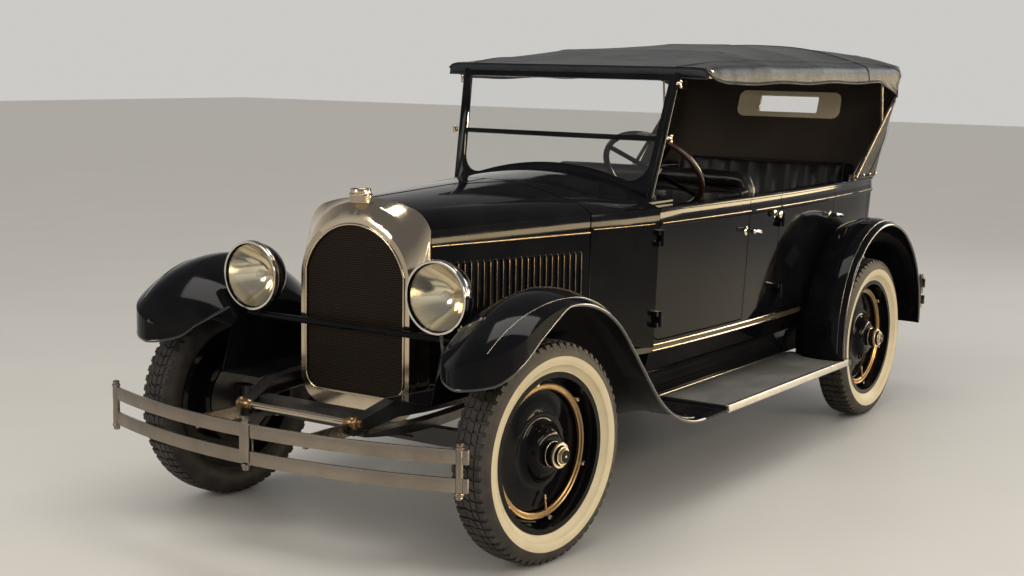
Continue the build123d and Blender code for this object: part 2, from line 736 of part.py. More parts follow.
with BuildPart() as nose_wall:
    with BuildSketch(Plane.XY.offset(nose_foot)):
        add(nose_plans[0])
        add(nose_plans[1], mode=Mode.SUBTRACT)
    extrude(amount=440)
    add(under_wing.part, mode=Mode.INTERSECT)
    with BuildSketch(Plane.XZ.offset(-apron_y + 20)):
        with BuildLine():
            Polyline(
                (nose_tip_x + 20, 655),
                (nose_tip_x + 20, 400),
                (front_axle_x - 60, 400),
                (front_axle_x - 60, 905),
                (front_axle_x + 50, 895),
                (front_axle_x + 213, 806),
                (front_axle_x + 315, 732),
            )
            ThreePointArc(
                (front_axle_x + 315, 732),
                (front_axle_x + 385, 682),
                (nose_tip_x + 20, 655),
            )
        make_face()
    extrude(amount=-(fender_edge_y - apron_y + 40), mode=Mode.SUBTRACT)
with BuildPart() as nose_waste:
    with BuildSketch(Plane.XY.offset(nose_foot)):
        with Locations((front_axle_x + 300, (apron_y + fender_edge_y) / 2)):
            Rectangle(560, fender_edge_y - apron_y)
        add(nose_plans[0], mode=Mode.SUBTRACT)
    extrude(amount=440)
with BuildPart() as fender_front_left:
    with BuildSketch(fall_plane) as wing_section:
        with BuildLine():
            ThreePointArc((apron_y, front_inner), (573, 498), (690, front_crown))
            ThreePointArc((690, front_crown), (790, front_crown - 12), (fender_edge_y, front_lip))
            Line((fender_edge_y, front_lip), (fender_edge_y - sheet, front_lip - sheet))
            ThreePointArc(
                (fender_edge_y - sheet, front_lip - sheet),
                (788, front_crown - 12 - sheet),
                (690, front_crown - sheet),
            )
            ThreePointArc((690, front_crown - sheet), (575, 494), (apron_y + sheet, front_inner - 2))
            Line((apron_y + sheet, front_inner - 2), (apron_y, front_inner))
        make_face()
    revolve(
        axis=Axis((front_arch_x, 0, front_arch_z), (0, 1, 0)),
        revolution_arc=front_fall_angle + front_nose_angle,
    )
    add(nose_waste.part, mode=Mode.SUBTRACT)
    add(nose_wall.part)
    with BuildSketch(fall_plane):
        add(wing_section.sketch_local)
    extrude(amount=-front_fall_run)
    for share, rise, inner_h, inner_y, middle_h, middle_y in wing_sections:
        turn = fall * share
        station = Plane(
            origin=(
                sweep_x - sweep_radius * (sin(fall) - sin(turn)),
                0,
                sweep_z - sweep_radius * (cos(turn) - cos(fall)),
            ),
            x_dir=(0, 1, 0),
            z_dir=(cos(turn), 0, sin(turn)),
        )
        with BuildSketch(station):
            with BuildLine():
                ThreePointArc((inner_y, inner_h), (middle_y, middle_h), (690, rise))
                ThreePointArc((690, rise), (790, rise * 0.75), (fender_edge_y, 0))
                Line((fender_edge_y, 0), (fender_edge_y - sheet, -sheet))
                ThreePointArc(
                    (fender_edge_y - sheet, -sheet),
                    (788, rise * 0.75 - sheet),
                    (690, rise - sheet),
                )
                ThreePointArc(
                    (690, rise - sheet),
                    (middle_y + 2, middle_h - sheet),
                    (inner_y + sheet * share, inner_h - sheet * (1 - share / 2)),
                )
                Line((inner_y + sheet * share, inner_h - sheet * (1 - share / 2)), (inner_y, inner_h))
            make_face()
    loft()
    flat_x = sweep_x - sweep_radius * sin(fall)
    flat_z = sweep_z - sweep_radius * (1 - cos(fall))
    with BuildSketch(Plane(origin=(flat_x, 0, flat_z), x_dir=(0, 1, 0), z_dir=(1, 0, 0))):
        with Locations(((board_inner_y + fender_edge_y) / 2, -sheet)):
            Rectangle(fender_edge_y - board_inner_y, 2 * sheet)
    extrude(amount=board_front_x - flat_x)
    with BuildSketch(Plane.XZ.offset(-apron_y)):
        with BuildLine():
            apron_rise = front_inner - 0.5
            apron_end = asin((nose_inner_x - 4 - front_arch_x) / apron_rise)
            apron_arc = ThreePointArc(
                (front_arch_x - apron_rise * sin(fall), front_arch_z + apron_rise * cos(fall)),
                (front_arch_x, front_arch_z + apron_rise),
                (front_arch_x + apron_rise * sin(apron_end), front_arch_z + apron_rise * cos(apron_end)),
            )
            Polyline(
                apron_arc @ 1,
                (front_axle_x + 290, front_rail_top),
                (front_axle_x - 520, front_rail_top),
                apron_arc @ 0,
            )
        make_face()
    extrude(amount=-sheet)
    with BuildSketch(Plane.XY.offset(front_rail_top)):
        with BuildLine():
            Polyline(
                (front_axle_x + 290, apron_y + sheet),
                (front_axle_x + 290, rail_centre(front_axle_x + 290) + 20),
                (rail_bend_x, rail_bend_y + 20),
                (front_axle_x - 520, rail_centre(front_axle_x - 520) + 20),
                (front_axle_x - 520, apron_y + sheet),
                close=True,
            )
        make_face()
    extrude(amount=sheet)
fender_front_left.part.label = "fender_front_left"
export_step(fender_front_left.part, "parts/fender_front_left.step")
with BuildPart() as fender_front_right:
    mirror(fender_front_left.part, about=Plane.XZ)
fender_front_right.part.label = "fender_front_right"
export_step(fender_front_right.part, "parts/fender_front_right.step")

# Body side: a wooden-framed wall a door thick. Its section carries a rolled top rail, a belt
# bead and a sill, and its plan swells gently between the cowl and the tail.
wall = 34.0
sill_z = 575.0
belt_top = 1128.0
bead_z = 1061.0
side_front_x = front_axle_x - 1008
side_mid_x = front_axle_x - 2000
side_back_x = front_axle_x - 2950
side_mid_half = 650.0
side_front_half = side_mid_half - 44
side_back_half = side_mid_half - 34
tail_corner_x = side_back_x - 310
tail_corner_half = side_back_half - 31
inner_gap = 26 + wall
levels = [
    # height, inset from the widest outline
    (sill_z, 30),
    (sill_z + 8, 26),
    (bead_z - 9, 2),
    (bead_z - 5, -3),
    (bead_z + 5, -3),
    (bead_z + 9, 1),
    (belt_top - 16, 2),
    (belt_top - 12, -3),
    (belt_top - 3, -3),
    (belt_top, 0),
]
with BuildPart() as side_wall:
    for z, inset in levels:
        with BuildSketch(Plane.XY.offset(z)):
            with BuildLine():
                ThreePointArc(
                    (side_front_x, side_front_half - inset),
                    (side_mid_x, side_mid_half - inset),
                    (side_back_x, side_back_half - inset),
                )
                Line(
                    (side_back_x, side_back_half - inset),
                    (side_back_x, side_back_half - 26 - wall),
                )
                ThreePointArc(
                    (side_back_x, side_back_half - 26 - wall),
                    (side_mid_x, side_mid_half - 26 - wall),
                    (side_front_x, side_front_half - 26 - wall),
                )
                Line(
                    (side_front_x, side_front_half - 26 - wall),
                    (side_front_x, side_front_half - inset),
                )
            make_face()
    loft(ruled=True)

# Body back: the same wall carried round the rear corners and across the tail.
with BuildPart() as body_back:
    for z, inset in levels:
        with BuildSketch(Plane.XY.offset(z)):
            with BuildLine():
                outer = side_back_half - inset
                corner = tail_corner_half - inset
                inner = side_back_half - inner_gap
                inner_corner = tail_corner_half - inner_gap
                Line((tail_x + inset, 0), (tail_x + inner_gap, 0))
                ThreePointArc(
                    (tail_x + inner_gap, 0),
                    (tail_x + 5 + inner_gap, 180),
                    (tail_x + 20 + inner_gap, 340),
                )
                ThreePointArc(
                    (tail_x + 20 + inner_gap, 340),
                    (tail_x + 60 + inner_gap, inner_corner - 60),
                    (tail_corner_x, inner_corner),
                )
                ThreePointArc(
                    (tail_corner_x, inner_corner),
                    ((side_back_x + tail_corner_x) / 2, (inner + inner_corner) / 2 + 3),
                    (side_back_x, inner),
                )
                Line((side_back_x, inner), (side_back_x, outer))
                ThreePointArc(
                    (side_back_x, outer),
                    ((side_back_x + tail_corner_x) / 2, (outer + corner) / 2 + 3),
                    (tail_corner_x, corner),
                )
                ThreePointArc(
                    (tail_corner_x, corner),
                    (tail_x + 62 + inset, corner - 62),
                    (tail_x + 20 + inset, 380),
                )
                ThreePointArc(
                    (tail_x + 20 + inset, 380),
                    (tail_x + 5 + inset, 190),
                    (tail_x + inset, 0),
                )
            make_face()
    loft(ruled=True)
    mirror(about=Plane.XZ)
body_back.part.label = "body_back"
export_step(body_back.part, "parts/body_back.step")

# Doors: four panels cut from the same wall, open at the top, with rounded lower corners. The
# rear ones are cut away round the rear fender. Each hangs on two barrel hinges at its front edge.
door_foot = 600.0
door_corner = 55.0
front_door_x = side_front_x - door_gap
front_door_back = front_axle_x - 1740
rear_door_x = front_axle_x - 2045
rear_door_back = front_axle_x - 2690
rear_arch_x = rear_axle_x + 14
rear_arch_z = 440.0
rear_crown = 522.0
rear_lip = 498.0
door_arch = rear_crown + 20
hinge_out = 10.0
barrel_radius = 7.0
hinge_pin = 3.5
leaf = 26.0
hinge_heights = (690.0, 1010.0)

with BuildSketch(Plane.XZ) as front_door_face:
    with Locations(((front_door_x + front_door_back) / 2, door_foot + 400)):
        Rectangle(front_door_x - front_door_back, 800)
    fillet(front_door_face.vertices().sort_by(Axis.Z)[:2], door_corner)
with BuildSketch(Plane.XZ) as rear_door_face:
    with Locations(((rear_door_x + rear_door_back) / 2, door_foot + 400)):
        Rectangle(rear_door_x - rear_door_back, 800)
    fillet(rear_door_face.vertices().sort_by(Axis.Z)[:2].sort_by(Axis.X)[-1:], door_corner)
    with Locations((rear_arch_x, rear_arch_z)):
        Circle(door_arch, mode=Mode.SUBTRACT)

hinges = [
    # name, door outline, hinge x, hinge y
    ("front", front_door_face, side_front_x - door_gap / 2, side_front_half + 3 + hinge_out),
    ("rear", rear_door_face, rear_door_x + door_gap / 2, side_mid_half + 3 + hinge_out),
]
for name, face, hinge_x, hinge_y in hinges:
    with BuildPart() as door:
        add(side_wall.part)
        with BuildSketch(Plane.XZ):
            add(face.sketch)
        extrude(amount=-900, mode=Mode.INTERSECT)
        for z in hinge_heights:
            with Locations((hinge_x - leaf / 2, hinge_y - 25, z)):
                Box(leaf, 50, 24)
            with Locations((hinge_x, hinge_y, z)):
                Cylinder(barrel_radius, 24)
                Cylinder(hinge_pin + fit, 40, mode=Mode.SUBTRACT)
    door.part.label = "door_" + name + "_left"
    export_step(door.part, "parts/door_" + name + "_left.step")
    with BuildPart() as other_door:
        mirror(door.part, about=Plane.XZ)
    other_door.part.label = "door_" + name + "_right"
    export_step(other_door.part, "parts/door_" + name + "_right.step")

with BuildPart() as body_side_left:
    add(side_wall.part)
    for name, face, hinge_x, hinge_y in hinges:
        with BuildSketch(Plane.XZ):
            add(face.sketch)
            offset(amount=door_gap, mode=Mode.REPLACE)
        extrude(amount=-900, mode=Mode.SUBTRACT)
    name, face, hinge_x, hinge_y = hinges[1]
    for z in hinge_heights:
        for end in (-1, 1):
            with Locations((hinge_x + leaf / 2, hinge_y - 25, z + end * 22)):
                Box(leaf, 50, 19.4)
            with Locations((hinge_x, hinge_y, z + end * 22)):
                Cylinder(barrel_radius, 19.4)
        with Locations((hinge_x, hinge_y, z)):
            Cylinder(hinge_pin, 60)
body_side_left.part.label = "body_side_left"
export_step(body_side_left.part, "parts/body_side_left.step")
with BuildPart() as body_side_right:
    mirror(body_side_left.part, about=Plane.XZ)
body_side_right.part.label = "body_side_right"
export_step(body_side_right.part, "parts/body_side_right.step")

# Floor: boards on two long sills that stand on the rails, stepped up over the rear axle.
floor_top = sill_z
board_thick = 24.0
pan_x = front_axle_x - 2575
pan_z = 604.0
pan_top = 624.0
cowl_front_x = front_axle_x - 690
cowl_front_half = 487.0
floor_front_x = front_axle_x - 860
with BuildPart() as floor:
    with BuildSketch(Plane.XY.offset(floor_top - board_thick)):
        with BuildLine():
            ThreePointArc(
                (side_front_x, side_front_half - 32),
                (front_axle_x - 1800, side_mid_half - 33),
                (pan_x, side_mid_half - 45),
            )
            Polyline(
                (pan_x, side_mid_half - 45),
                (pan_x, -side_mid_half + 45),
            )
            ThreePointArc(
                (pan_x, -side_mid_half + 45),
                (front_axle_x - 1800, -side_mid_half + 33),
                (side_front_x, -side_front_half + 32),
            )
            Polyline(
                (side_front_x, -side_front_half + 32),
                (floor_front_x, -545),
                (floor_front_x, 545),
                (side_front_x, side_front_half - 32),
            )
        make_face()
    extrude(amount=board_thick)
    for side in (1, -1):
        with Locations(((side_front_x + kick_front_x) / 2 + 100, side * rail_y, (rail_top + floor_top - board_thick) / 2)):
            Box(side_front_x - kick_front_x + 200, rail_width, floor_top - board_thick - rail_top)
    with BuildSketch(Plane.XY.offset(pan_z)):
        with BuildLine():
            ThreePointArc(
                (side_back_x, side_back_half - inner_gap - 2),
                ((side_back_x + pan_x) / 2, side_mid_half - inner_gap - 24),
                (pan_x, side_mid_half - inner_gap - 17),
            )
            Polyline(
                (pan_x, side_mid_half - inner_gap - 17),
                (pan_x, -side_mid_half + inner_gap + 17),
            )
            ThreePointArc(
                (pan_x, -side_mid_half + inner_gap + 17),
                ((side_back_x + pan_x) / 2, -side_mid_half + inner_gap + 24),
                (side_back_x, -side_back_half + inner_gap + 2),
            )
            Polyline(
                (side_back_x, -side_back_half + inner_gap + 2),
                (tail_corner_x + 10, -tail_corner_half + inner_gap + 2),
                (tail_x + inner_gap + 30, -330),
                (tail_x + inner_gap + 30, 330),
                (tail_corner_x + 10, tail_corner_half - inner_gap - 2),
                (side_back_x, side_back_half - inner_gap - 2),
            )
        make_face()
    extrude(amount=pan_top - pan_z)
    with Locations((pan_x - 10, 0, (floor_top - board_thick + pan_top) / 2)):
        Box(20, 2 * (side_mid_half - inner_gap - 30), pan_top - floor_top + board_thick)
    with BuildSketch(Plane.XZ.offset(-cowl_front_half + 30)):
        with BuildLine():
            Polyline(
                (front_axle_x - 1080, floor_top),
                (cowl_front_x - 6, floor_top + 215),
                (cowl_front_x - 6, floor_top + 229),
                (front_axle_x - 1105, floor_top),
                close=True,
            )
        make_face()
    extrude(amount=2 * (cowl_front_half - 30))
    with Locations((pan_x + 78, rail_y, 553), (pan_x + 78, -rail_y, 553)):
        Box(220, rail_width + 6, 100, mode=Mode.SUBTRACT)
    with BuildSketch(Plane(origin=hub_point, z_dir=column_axis)):
        Circle(jacket_radius + 4)
    extrude(amount=1200, mode=Mode.SUBTRACT)
floor.part.label = "floor"
export_step(floor.part, "parts/floor.step")

# Cowl: the scuttle between hood and doors. It flares outwards from the hood, carries the belt
# bead, closes the engine bay with a bulkhead and ends in the deck under the windshield. The
# hood's rod and the two ledges that stand on the fender aprons belong to it.
cowl_wall = 22.0
deck_back_x = front_axle_x - 1240
deck_half = side_front_half - inner_gap - door_gap - 4
hood_sheet = 6.0
rod_radius = 5.0
hood_gap = 6.0
hood_front_x = shell_back_x - hood_gap
hood_back_x = cowl_front_x + hood_gap
hood_foot = 655.0
hood_ends = [
    # x, half width, bead, upper edge, shoulder y, shoulder z, crown
    (hood_front_x, 270, 1040, 1096, 190, 1166, 1195),
    (hood_back_x, 485, 1048, 1117, 348, 1172, 1224),
]
ledge_top = hood_foot - fit
cowl_stations = [
    # x, half width, foot, bead, upper edge, shoulder y, shoulder z, crown
    (cowl_front_x, cowl_front_half, 655, 1048, 1118, 350, 1172, 1225),
    (front_axle_x - 850, 553, 600, 1056, 1122, 410, 1162, 1233),
    (side_front_x, side_front_half, sill_z, bead_z, 1124, 455, 1152, 1240),
]
with BuildPart() as cowl:
    for inset, kind in ((0, Mode.ADD), (cowl_wall, Mode.SUBTRACT)):
        for x, half, foot, bead, upper, shoulder_y, shoulder_z, crown in cowl_stations:
            side = half - inset
            foot = foot - inset / 2
            with BuildSketch(Plane.YZ.offset(x)):
                with BuildLine():
                    Polyline((side - 12, foot), (side, bead - 5), (side, upper - inset * 0.7))
                    ThreePointArc(
                        (side, upper - inset * 0.7),
                        ((side + shoulder_y) / 2 + 5, (upper + shoulder_z) / 2 + 10 - inset),
                        (shoulder_y, shoulder_z - inset),
                    )
                    ThreePointArc(
                        (shoulder_y, shoulder_z - inset),
                        (0, crown - inset),
                        (-shoulder_y, shoulder_z - inset),
                    )
                    ThreePointArc(
                        (-shoulder_y, shoulder_z - inset),
                        (-(side + shoulder_y) / 2 - 5, (upper + shoulder_z) / 2 + 10 - inset),
                        (-side, upper - inset * 0.7),
                    )
                    Polyline((-side, upper - inset * 0.7), (-side, bead - 5), (-side + 12, foot), (side - 12, foot))
                make_face()
        loft(mode=kind)
    x, half, foot, bead, upper, shoulder_y, shoulder_z, crown = cowl_stations[0]
    with BuildSketch(Plane.YZ.offset(cowl_front_x)):
        with BuildLine():
            Polyline((-half + 4, foot), (half - 4, foot), (half - 1, upper))
            ThreePointArc((half - 1, upper), ((half + shoulder_y) / 2 + 4, (upper + shoulder_z) / 2 + 9), (shoulder_y, shoulder_z))
            ThreePointArc((shoulder_y, shoulder_z), (0, crown), (-shoulder_y, shoulder_z))
            ThreePointArc((-shoulder_y, shoulder_z), (-(half + shoulder_y) / 2 - 4, (upper + shoulder_z) / 2 + 9), (-half + 1, upper))
            Line((-half + 1, upper), (-half + 4, foot))
        make_face()
    extrude(amount=-5)
    x, half, foot, bead, upper, shoulder_y, shoulder_z, crown = cowl_stations[2]
    edge_z = shoulder_z - (deck_half - shoulder_y) * 0.14
    with BuildSketch(Plane.YZ.offset(side_front_x)):
        with BuildLine():
            deck_line = ThreePointArc((-shoulder_y, shoulder_z), (0, crown), (shoulder_y, shoulder_z))
            Polyline(
                deck_line @ 1,
                (deck_half, edge_z),
                (deck_half, edge_z - cowl_wall),
                (shoulder_y, shoulder_z - cowl_wall),
            )
            ThreePointArc(
                (shoulder_y, shoulder_z - cowl_wall),
                (0, crown - cowl_wall),
                (-shoulder_y, shoulder_z - cowl_wall),
            )
            Polyline(
                (-shoulder_y, shoulder_z - cowl_wall),
                (-deck_half, edge_z - cowl_wall),
                (-deck_half, edge_z),
                deck_line @ 0,
            )
        make_face()
    extrude(amount=deck_back_x - side_front_x)
    with BuildSketch(Plane.YZ.offset(deck_back_x + 60)):
        with BuildLine():
            Polyline(
                (-shoulder_y, shoulder_z - 10),
                (-deck_half, edge_z - 10),
                (-deck_half + 10, 1000),
                (-360, 950),
                (360, 950),
                (deck_half - 10, 1000),
                (deck_half, edge_z - 10),
                (shoulder_y, shoulder_z - 10),
            )
            ThreePointArc((shoulder_y, shoulder_z - 10), (0, crown - 10), (-shoulder_y, shoulder_z - 10))
        make_face()
    extrude(amount=8)
    with BuildSketch(Plane.YZ.offset(cowl_front_x + 10)):
        with Locations((0, crank_z)):
            Circle(180)
    extrude(amount=-60, mode=Mode.SUBTRACT)
    name, face, hinge_x, hinge_y = hinges[0]
    for side in (1, -1):
        for z in hinge_heights:
            for end in (-1, 1):
                with Locations((hinge_x + leaf / 2, side * (hinge_y - 25), z + end * 22)):
                    Box(leaf, 50, 19.4)
                with Locations((hinge_x, side * hinge_y, z + end * 22)):
                    Cylinder(barrel_radius, 19.4)
            with Locations((hinge_x, side * hinge_y, z)):
                Cylinder(hinge_pin, 60)
    for x, end in ((shell_back_x, hood_ends[0]), (cowl_front_x, hood_ends[1])):
        with BuildSketch(Plane.YZ.offset(x)):
            with Locations((0, end[6] - hood_sheet / 2)):
                Circle(rod_radius)
    loft(ruled=True)
    with BuildSketch(Plane.XY.offset(front_rail_top + sheet)):
        for side in (1, -1):
            with BuildLine():
                Polyline(
                    (shell_back_x, side * (hood_ends[0][1] - 8)),
                    (cowl_front_x, side * (hood_ends[1][1] - 8)),
                    (cowl_front_x, side * (hood_ends[1][1] - 32)),
                    (shell_back_x, side * (hood_ends[0][1] - 32)),
                    close=True,
                )
            make_face()
    extrude(amount=ledge_top - front_rail_top - sheet)
    with BuildSketch(Plane(origin=hub_point, z_dir=column_axis)):
        Circle(jacket_radius + 4)
    extrude(amount=1200, mode=Mode.SUBTRACT)
cowl.part.label = "cowl"
export_step(cowl.part, "parts/cowl.step")

# Hood: two arched top panels on a rod along the crown, and two louvred sides that hang from
# the beads along their edges.
louvre_count = 22
louvre_pitch = 29.0
louvre_height = 170.0
louvre_proud = 7.0
louvre_z = 890.0
louvre_start = 75.0

with BuildPart() as hood_top_left:
    for x, half, bead, upper, shoulder_y, shoulder_z, crown in hood_ends:
        seat_y = rod_radius + fit
        sag = crown - shoulder_z
        with BuildSketch(Plane.YZ.offset(x)):
            with BuildLine():
                ThreePointArc((seat_y, crown), (shoulder_y / 2, crown - sag * 0.25), (shoulder_y, shoulder_z))
                ThreePointArc(
                    (shoulder_y, shoulder_z),
                    ((half + shoulder_y) / 2 + 7, (upper + shoulder_z) / 2 + 11),
                    (half, upper),
                )
                Line((half, upper), (half, bead))
                Line((half, bead), (half - hood_sheet, bead))
                Line((half - hood_sheet, bead), (half - hood_sheet, upper))
                ThreePointArc(
                    (half - hood_sheet, upper),
                    ((half + shoulder_y) / 2 + 3, (upper + shoulder_z) / 2 + 6),
                    (shoulder_y, shoulder_z - hood_sheet),
                )
                ThreePointArc(
                    (shoulder_y, shoulder_z - hood_sheet),
                    (shoulder_y / 2, crown - sag * 0.25 - hood_sheet),
                    (seat_y, crown - hood_sheet),
                )
                Line((seat_y, crown - hood_sheet), (seat_y, crown))
            make_face()
    loft(ruled=True)
    bead_start = Vector(hood_ends[0][0], hood_ends[0][1] - hood_sheet / 2, hood_ends[0][2])
    bead_end = Vector(hood_ends[1][0], hood_ends[1][1] - hood_sheet / 2, hood_ends[1][2])
    with BuildSketch(Plane(origin=bead_start, z_dir=bead_end - bead_start)):
        Circle(rod_radius)
    extrude(amount=(bead_end - bead_start).length)
hood_top_left.part.label = "hood_top_left"
export_step(hood_top_left.part, "parts/hood_top_left.step")
with BuildPart() as hood_top_right:
    mirror(hood_top_left.part, about=Plane.XZ)
hood_top_right.part.label = "hood_top_right"
export_step(hood_top_right.part, "parts/hood_top_right.step")

with BuildPart() as hood_side_left:
    for x, half, bead, upper, shoulder_y, shoulder_z, crown in hood_ends:
        with BuildSketch(Plane.YZ.offset(x)):
            with BuildLine():
                Polyline(
                    (half, hood_foot),
                    (half, bead - rod_radius - fit),
                    (half - hood_sheet, bead - rod_radius - fit),
                    (half - hood_sheet, hood_foot),
                    close=True,
                )
            make_face()
    loft(ruled=True)
    along = Vector(hood_ends[1][0] - hood_ends[0][0], hood_ends[1][1] - hood_ends[0][1], 0).normalized()
    foot_corner = Vector(hood_ends[0][0], hood_ends[0][1], louvre_z - louvre_height / 2)
    with BuildSketch(Plane(origin=foot_corner, x_dir=along, z_dir=(0, 0, 1))) as louvre_row:
        with Locations([(louvre_start + i * louvre_pitch, 0) for i in range(louvre_count)]):
            Polygon((0, 2), (14, 2), (14, 0), (12, -louvre_proud), (9, -louvre_proud), (0, 0), align=None)
    extrude(amount=louvre_height)
hood_side_left.part.label = "hood_side_left"
export_step(hood_side_left.part, "parts/hood_side_left.step")
with BuildPart() as hood_side_right:
    mirror(hood_side_left.part, about=Plane.XZ)
hood_side_right.part.label = "hood_side_right"
export_step(hood_side_right.part, "parts/hood_side_right.step")

# Rear fenders: a crowned wing round the wheel from the running board to the tail, cut to sit
# against the body's side.
rear_foot_angle = 101.0
rear_tail_angle = 95.0
start = radians(rear_tail_angle)
rear_plane = Plane(
    origin=(rear_arch_x, 0, rear_arch_z),
    x_dir=(0, 1, 0),
    z_dir=(cos(start), 0, sin(start)),
)
root_y = side_mid_half - 54
crown_y = side_mid_half + 85
edge_y = fender_edge_y
with BuildPart() as fender_rear_left:
    with BuildSketch(rear_plane):
        with BuildLine():
            ThreePointArc((root_y, 462), (root_y + 64, 502), (crown_y, rear_crown))
            ThreePointArc((crown_y, rear_crown), (edge_y - 42, 517), (edge_y, rear_lip))
            Line((edge_y, rear_lip), (edge_y - sheet, rear_lip - sheet))
            ThreePointArc((edge_y - sheet, rear_lip - sheet), (edge_y - 44, 513), (crown_y, rear_crown - sheet))
            ThreePointArc((crown_y, rear_crown - sheet), (root_y + 65, 498), (root_y, 458))
            Line((root_y, 458), (root_y, 462))
        make_face()
    revolve(
        axis=Axis((rear_arch_x, 0, rear_arch_z), (0, 1, 0)),
        revolution_arc=rear_tail_angle + rear_foot_angle,
    )
    add(side_wall.part, mode=Mode.SUBTRACT)
    add(body_back.part, mode=Mode.SUBTRACT)
    add(floor.part, mode=Mode.SUBTRACT)
fender_rear_left.part.label = "fender_rear_left"
export_step(fender_rear_left.part, "parts/fender_rear_left.step")
with BuildPart() as fender_rear_right:
    mirror(fender_rear_left.part, about=Plane.XZ)
fender_rear_right.part.label = "fender_rear_right"
export_step(fender_rear_right.part, "parts/fender_rear_right.step")

# Running boards with rounded edges on brackets from the frame, and the splash aprons above.
# Each board steps down a little under the foot of the rear fender.
board_depth = 26.0
foot_step_x = rear_arch_x + rear_crown
with BuildPart() as running_boards:
    with BuildSketch(Plane.XY.offset(board_top - board_depth)):
        with Locations(((board_front_x + board_back_x) / 2, (board_inner_y + fender_edge_y - 5) / 2)):
            RectangleRounded(board_front_x - board_back_x, fender_edge_y - 5 - board_inner_y, 14)
    extrude(amount=board_depth)
    with Locations(((board_back_x + foot_step_x) / 2 - 5, (board_inner_y + fender_edge_y) / 2, board_top)):
        Box(foot_step_x - board_back_x + 10, fender_edge_y - board_inner_y + 10, 2, mode=Mode.SUBTRACT)
    for x in (front_axle_x - 1400, front_axle_x - 2150):
        with BuildSketch(Plane.YZ.offset(x)):
            with BuildLine():
                Polyline(
                    (rail_y + rail_width / 2, rail_base + 40),
                    (rail_y + rail_width / 2, rail_base + 2),
                    (board_inner_y - 31, board_top - board_depth - 12),
                    (board_inner_y + 260, board_top - board_depth - 12),
                    (board_inner_y + 260, board_top - board_depth),
                    (board_inner_y - 20, board_top - board_depth),
                    close=True,
                )
            make_face()
        extrude(amount=46)
    mirror(about=Plane.XZ)
running_boards.part.label = "running_boards"
export_step(running_boards.part, "parts/running_boards.step")

with BuildPart() as splash_aprons:
    with BuildSketch(Plane.YZ.offset(side_front_x)):
        with BuildLine():
            Polyline(
                (574, floor_top - board_thick),
                (556, 470),
                (562, 464),
                (556, 458),
                (board_inner_y, board_top + 25),
                (board_inner_y, board_top),
                (board_inner_y - 5, board_top),
                (board_inner_y - 5, board_top + 25),
                (551, 464),
                (568, floor_top - board_thick),
                close=True,
            )
        make_face()
    extrude(amount=rear_arch_x + 470 - side_front_x)
    mirror(about=Plane.XZ)
splash_aprons.part.label = "splash_aprons"
export_step(splash_aprons.part, "parts/splash_aprons.step")

# Fuel tank: a drum across the frame behind the rear axle, hung from the floor pan by straps.
tank_x = front_axle_x - 3170
tank_radius = 92.0
tank_z = 470.0
with BuildPart() as fuel_tank:
    with BuildSketch(Plane.XZ.offset(-335)):
        with Locations((tank_x, tank_z)):
            Circle(tank_radius)
    extrude(amount=670)
    with Locations((tank_x, 220, (pan_z + tank_z) / 2), (tank_x, -220, (pan_z + tank_z) / 2)):
        Box(60, 40, pan_z - tank_z)
fuel_tank.part.label = "fuel_tank"
export_step(fuel_tank.part, "parts/fuel_tank.step")

# Spare: a tyre on its rim, upright behind the body on a bracket from the frame.
spare_seat = Pos(spare_x, 0, spare_z) * Rot(0, 0, 90)
with BuildPart() as spare_tyre:
    add(spare_seat * tyre_form.part)
spare_tyre.part.label = "spare_tyre"
export_step(spare_tyre.part, "parts/spare_tyre.step")
with BuildPart() as spare_wheel_form:
    with BuildSketch(Plane.YZ):
        with BuildLine():
            Polyline(
                (rim_half, flange_radius),
                (bead_half + fit, flange_radius),
                (bead_half + fit, bead_radius - fit),
                (-bead_half - fit, bead_radius - fit),
                (-bead_half - fit, flange_radius),
                (-rim_half, flange_radius),
                (-rim_half, bead_radius - 6),
                (-14, bead_radius - 9),
            )
            ThreePointArc((-14, bead_radius - 9), (-12, 190), (0, 128))
            Polyline((0, 128), (8, 60), (8, 0), (16, 0), (16, 60), (6, 128))
            ThreePointArc((6, 128), (-6, 190), (-8, bead_radius - 10))
            Polyline((-8, bead_radius - 10), (rim_half, bead_radius - 4), (rim_half, flange_radius))
        make_face()
    revolve(axis=Axis.Y)
with BuildPart() as spare_wheel:
    add(spare_seat * spare_wheel_form.part)
spare_wheel.part.label = "spare_wheel"
export_step(spare_wheel.part, "parts/spare_wheel.step")
# Seats: each is a boxed riser with a back board, a sprung cushion and a leaning squab.
seat_clear = 34.0
seat_half = side_back_half - inner_gap - seat_clear
front_riser_x = front_axle_x - 1490
front_board_x = front_axle_x - 2012
front_cushion_z = 745.0
rear_riser_x = front_axle_x - 2690
rear_board_x = front_axle_x - 3345
rear_cushion_z = 770.0
with BuildPart() as seat_frames:
    with Locations(((front_riser_x + front_board_x) / 2, 0, (floor_top + front_cushion_z) / 2)):
        Box(front_riser_x - front_board_x, 2 * seat_half, front_cushion_z - floor_top)
    with BuildSketch(Plane.XZ.offset(-seat_half)):
        with BuildLine():
            Polyline(
                (front_board_x, floor_top),
                (front_board_x + 14, floor_top),
                (front_board_x - 6, 1160),
                (front_board_x - 20, 1160),
                close=True,
            )
        make_face()
    extrude(amount=2 * seat_half)
    with Locations(((rear_riser_x + rear_board_x) / 2 + 60, 0, (pan_top + rear_cushion_z) / 2)):
        Box(rear_riser_x - rear_board_x - 120, 2 * seat_half - 80, rear_cushion_z - pan_top)
seat_frames.part.label = "seat_frames"
export_step(seat_frames.part, "parts/seat_frames.step")

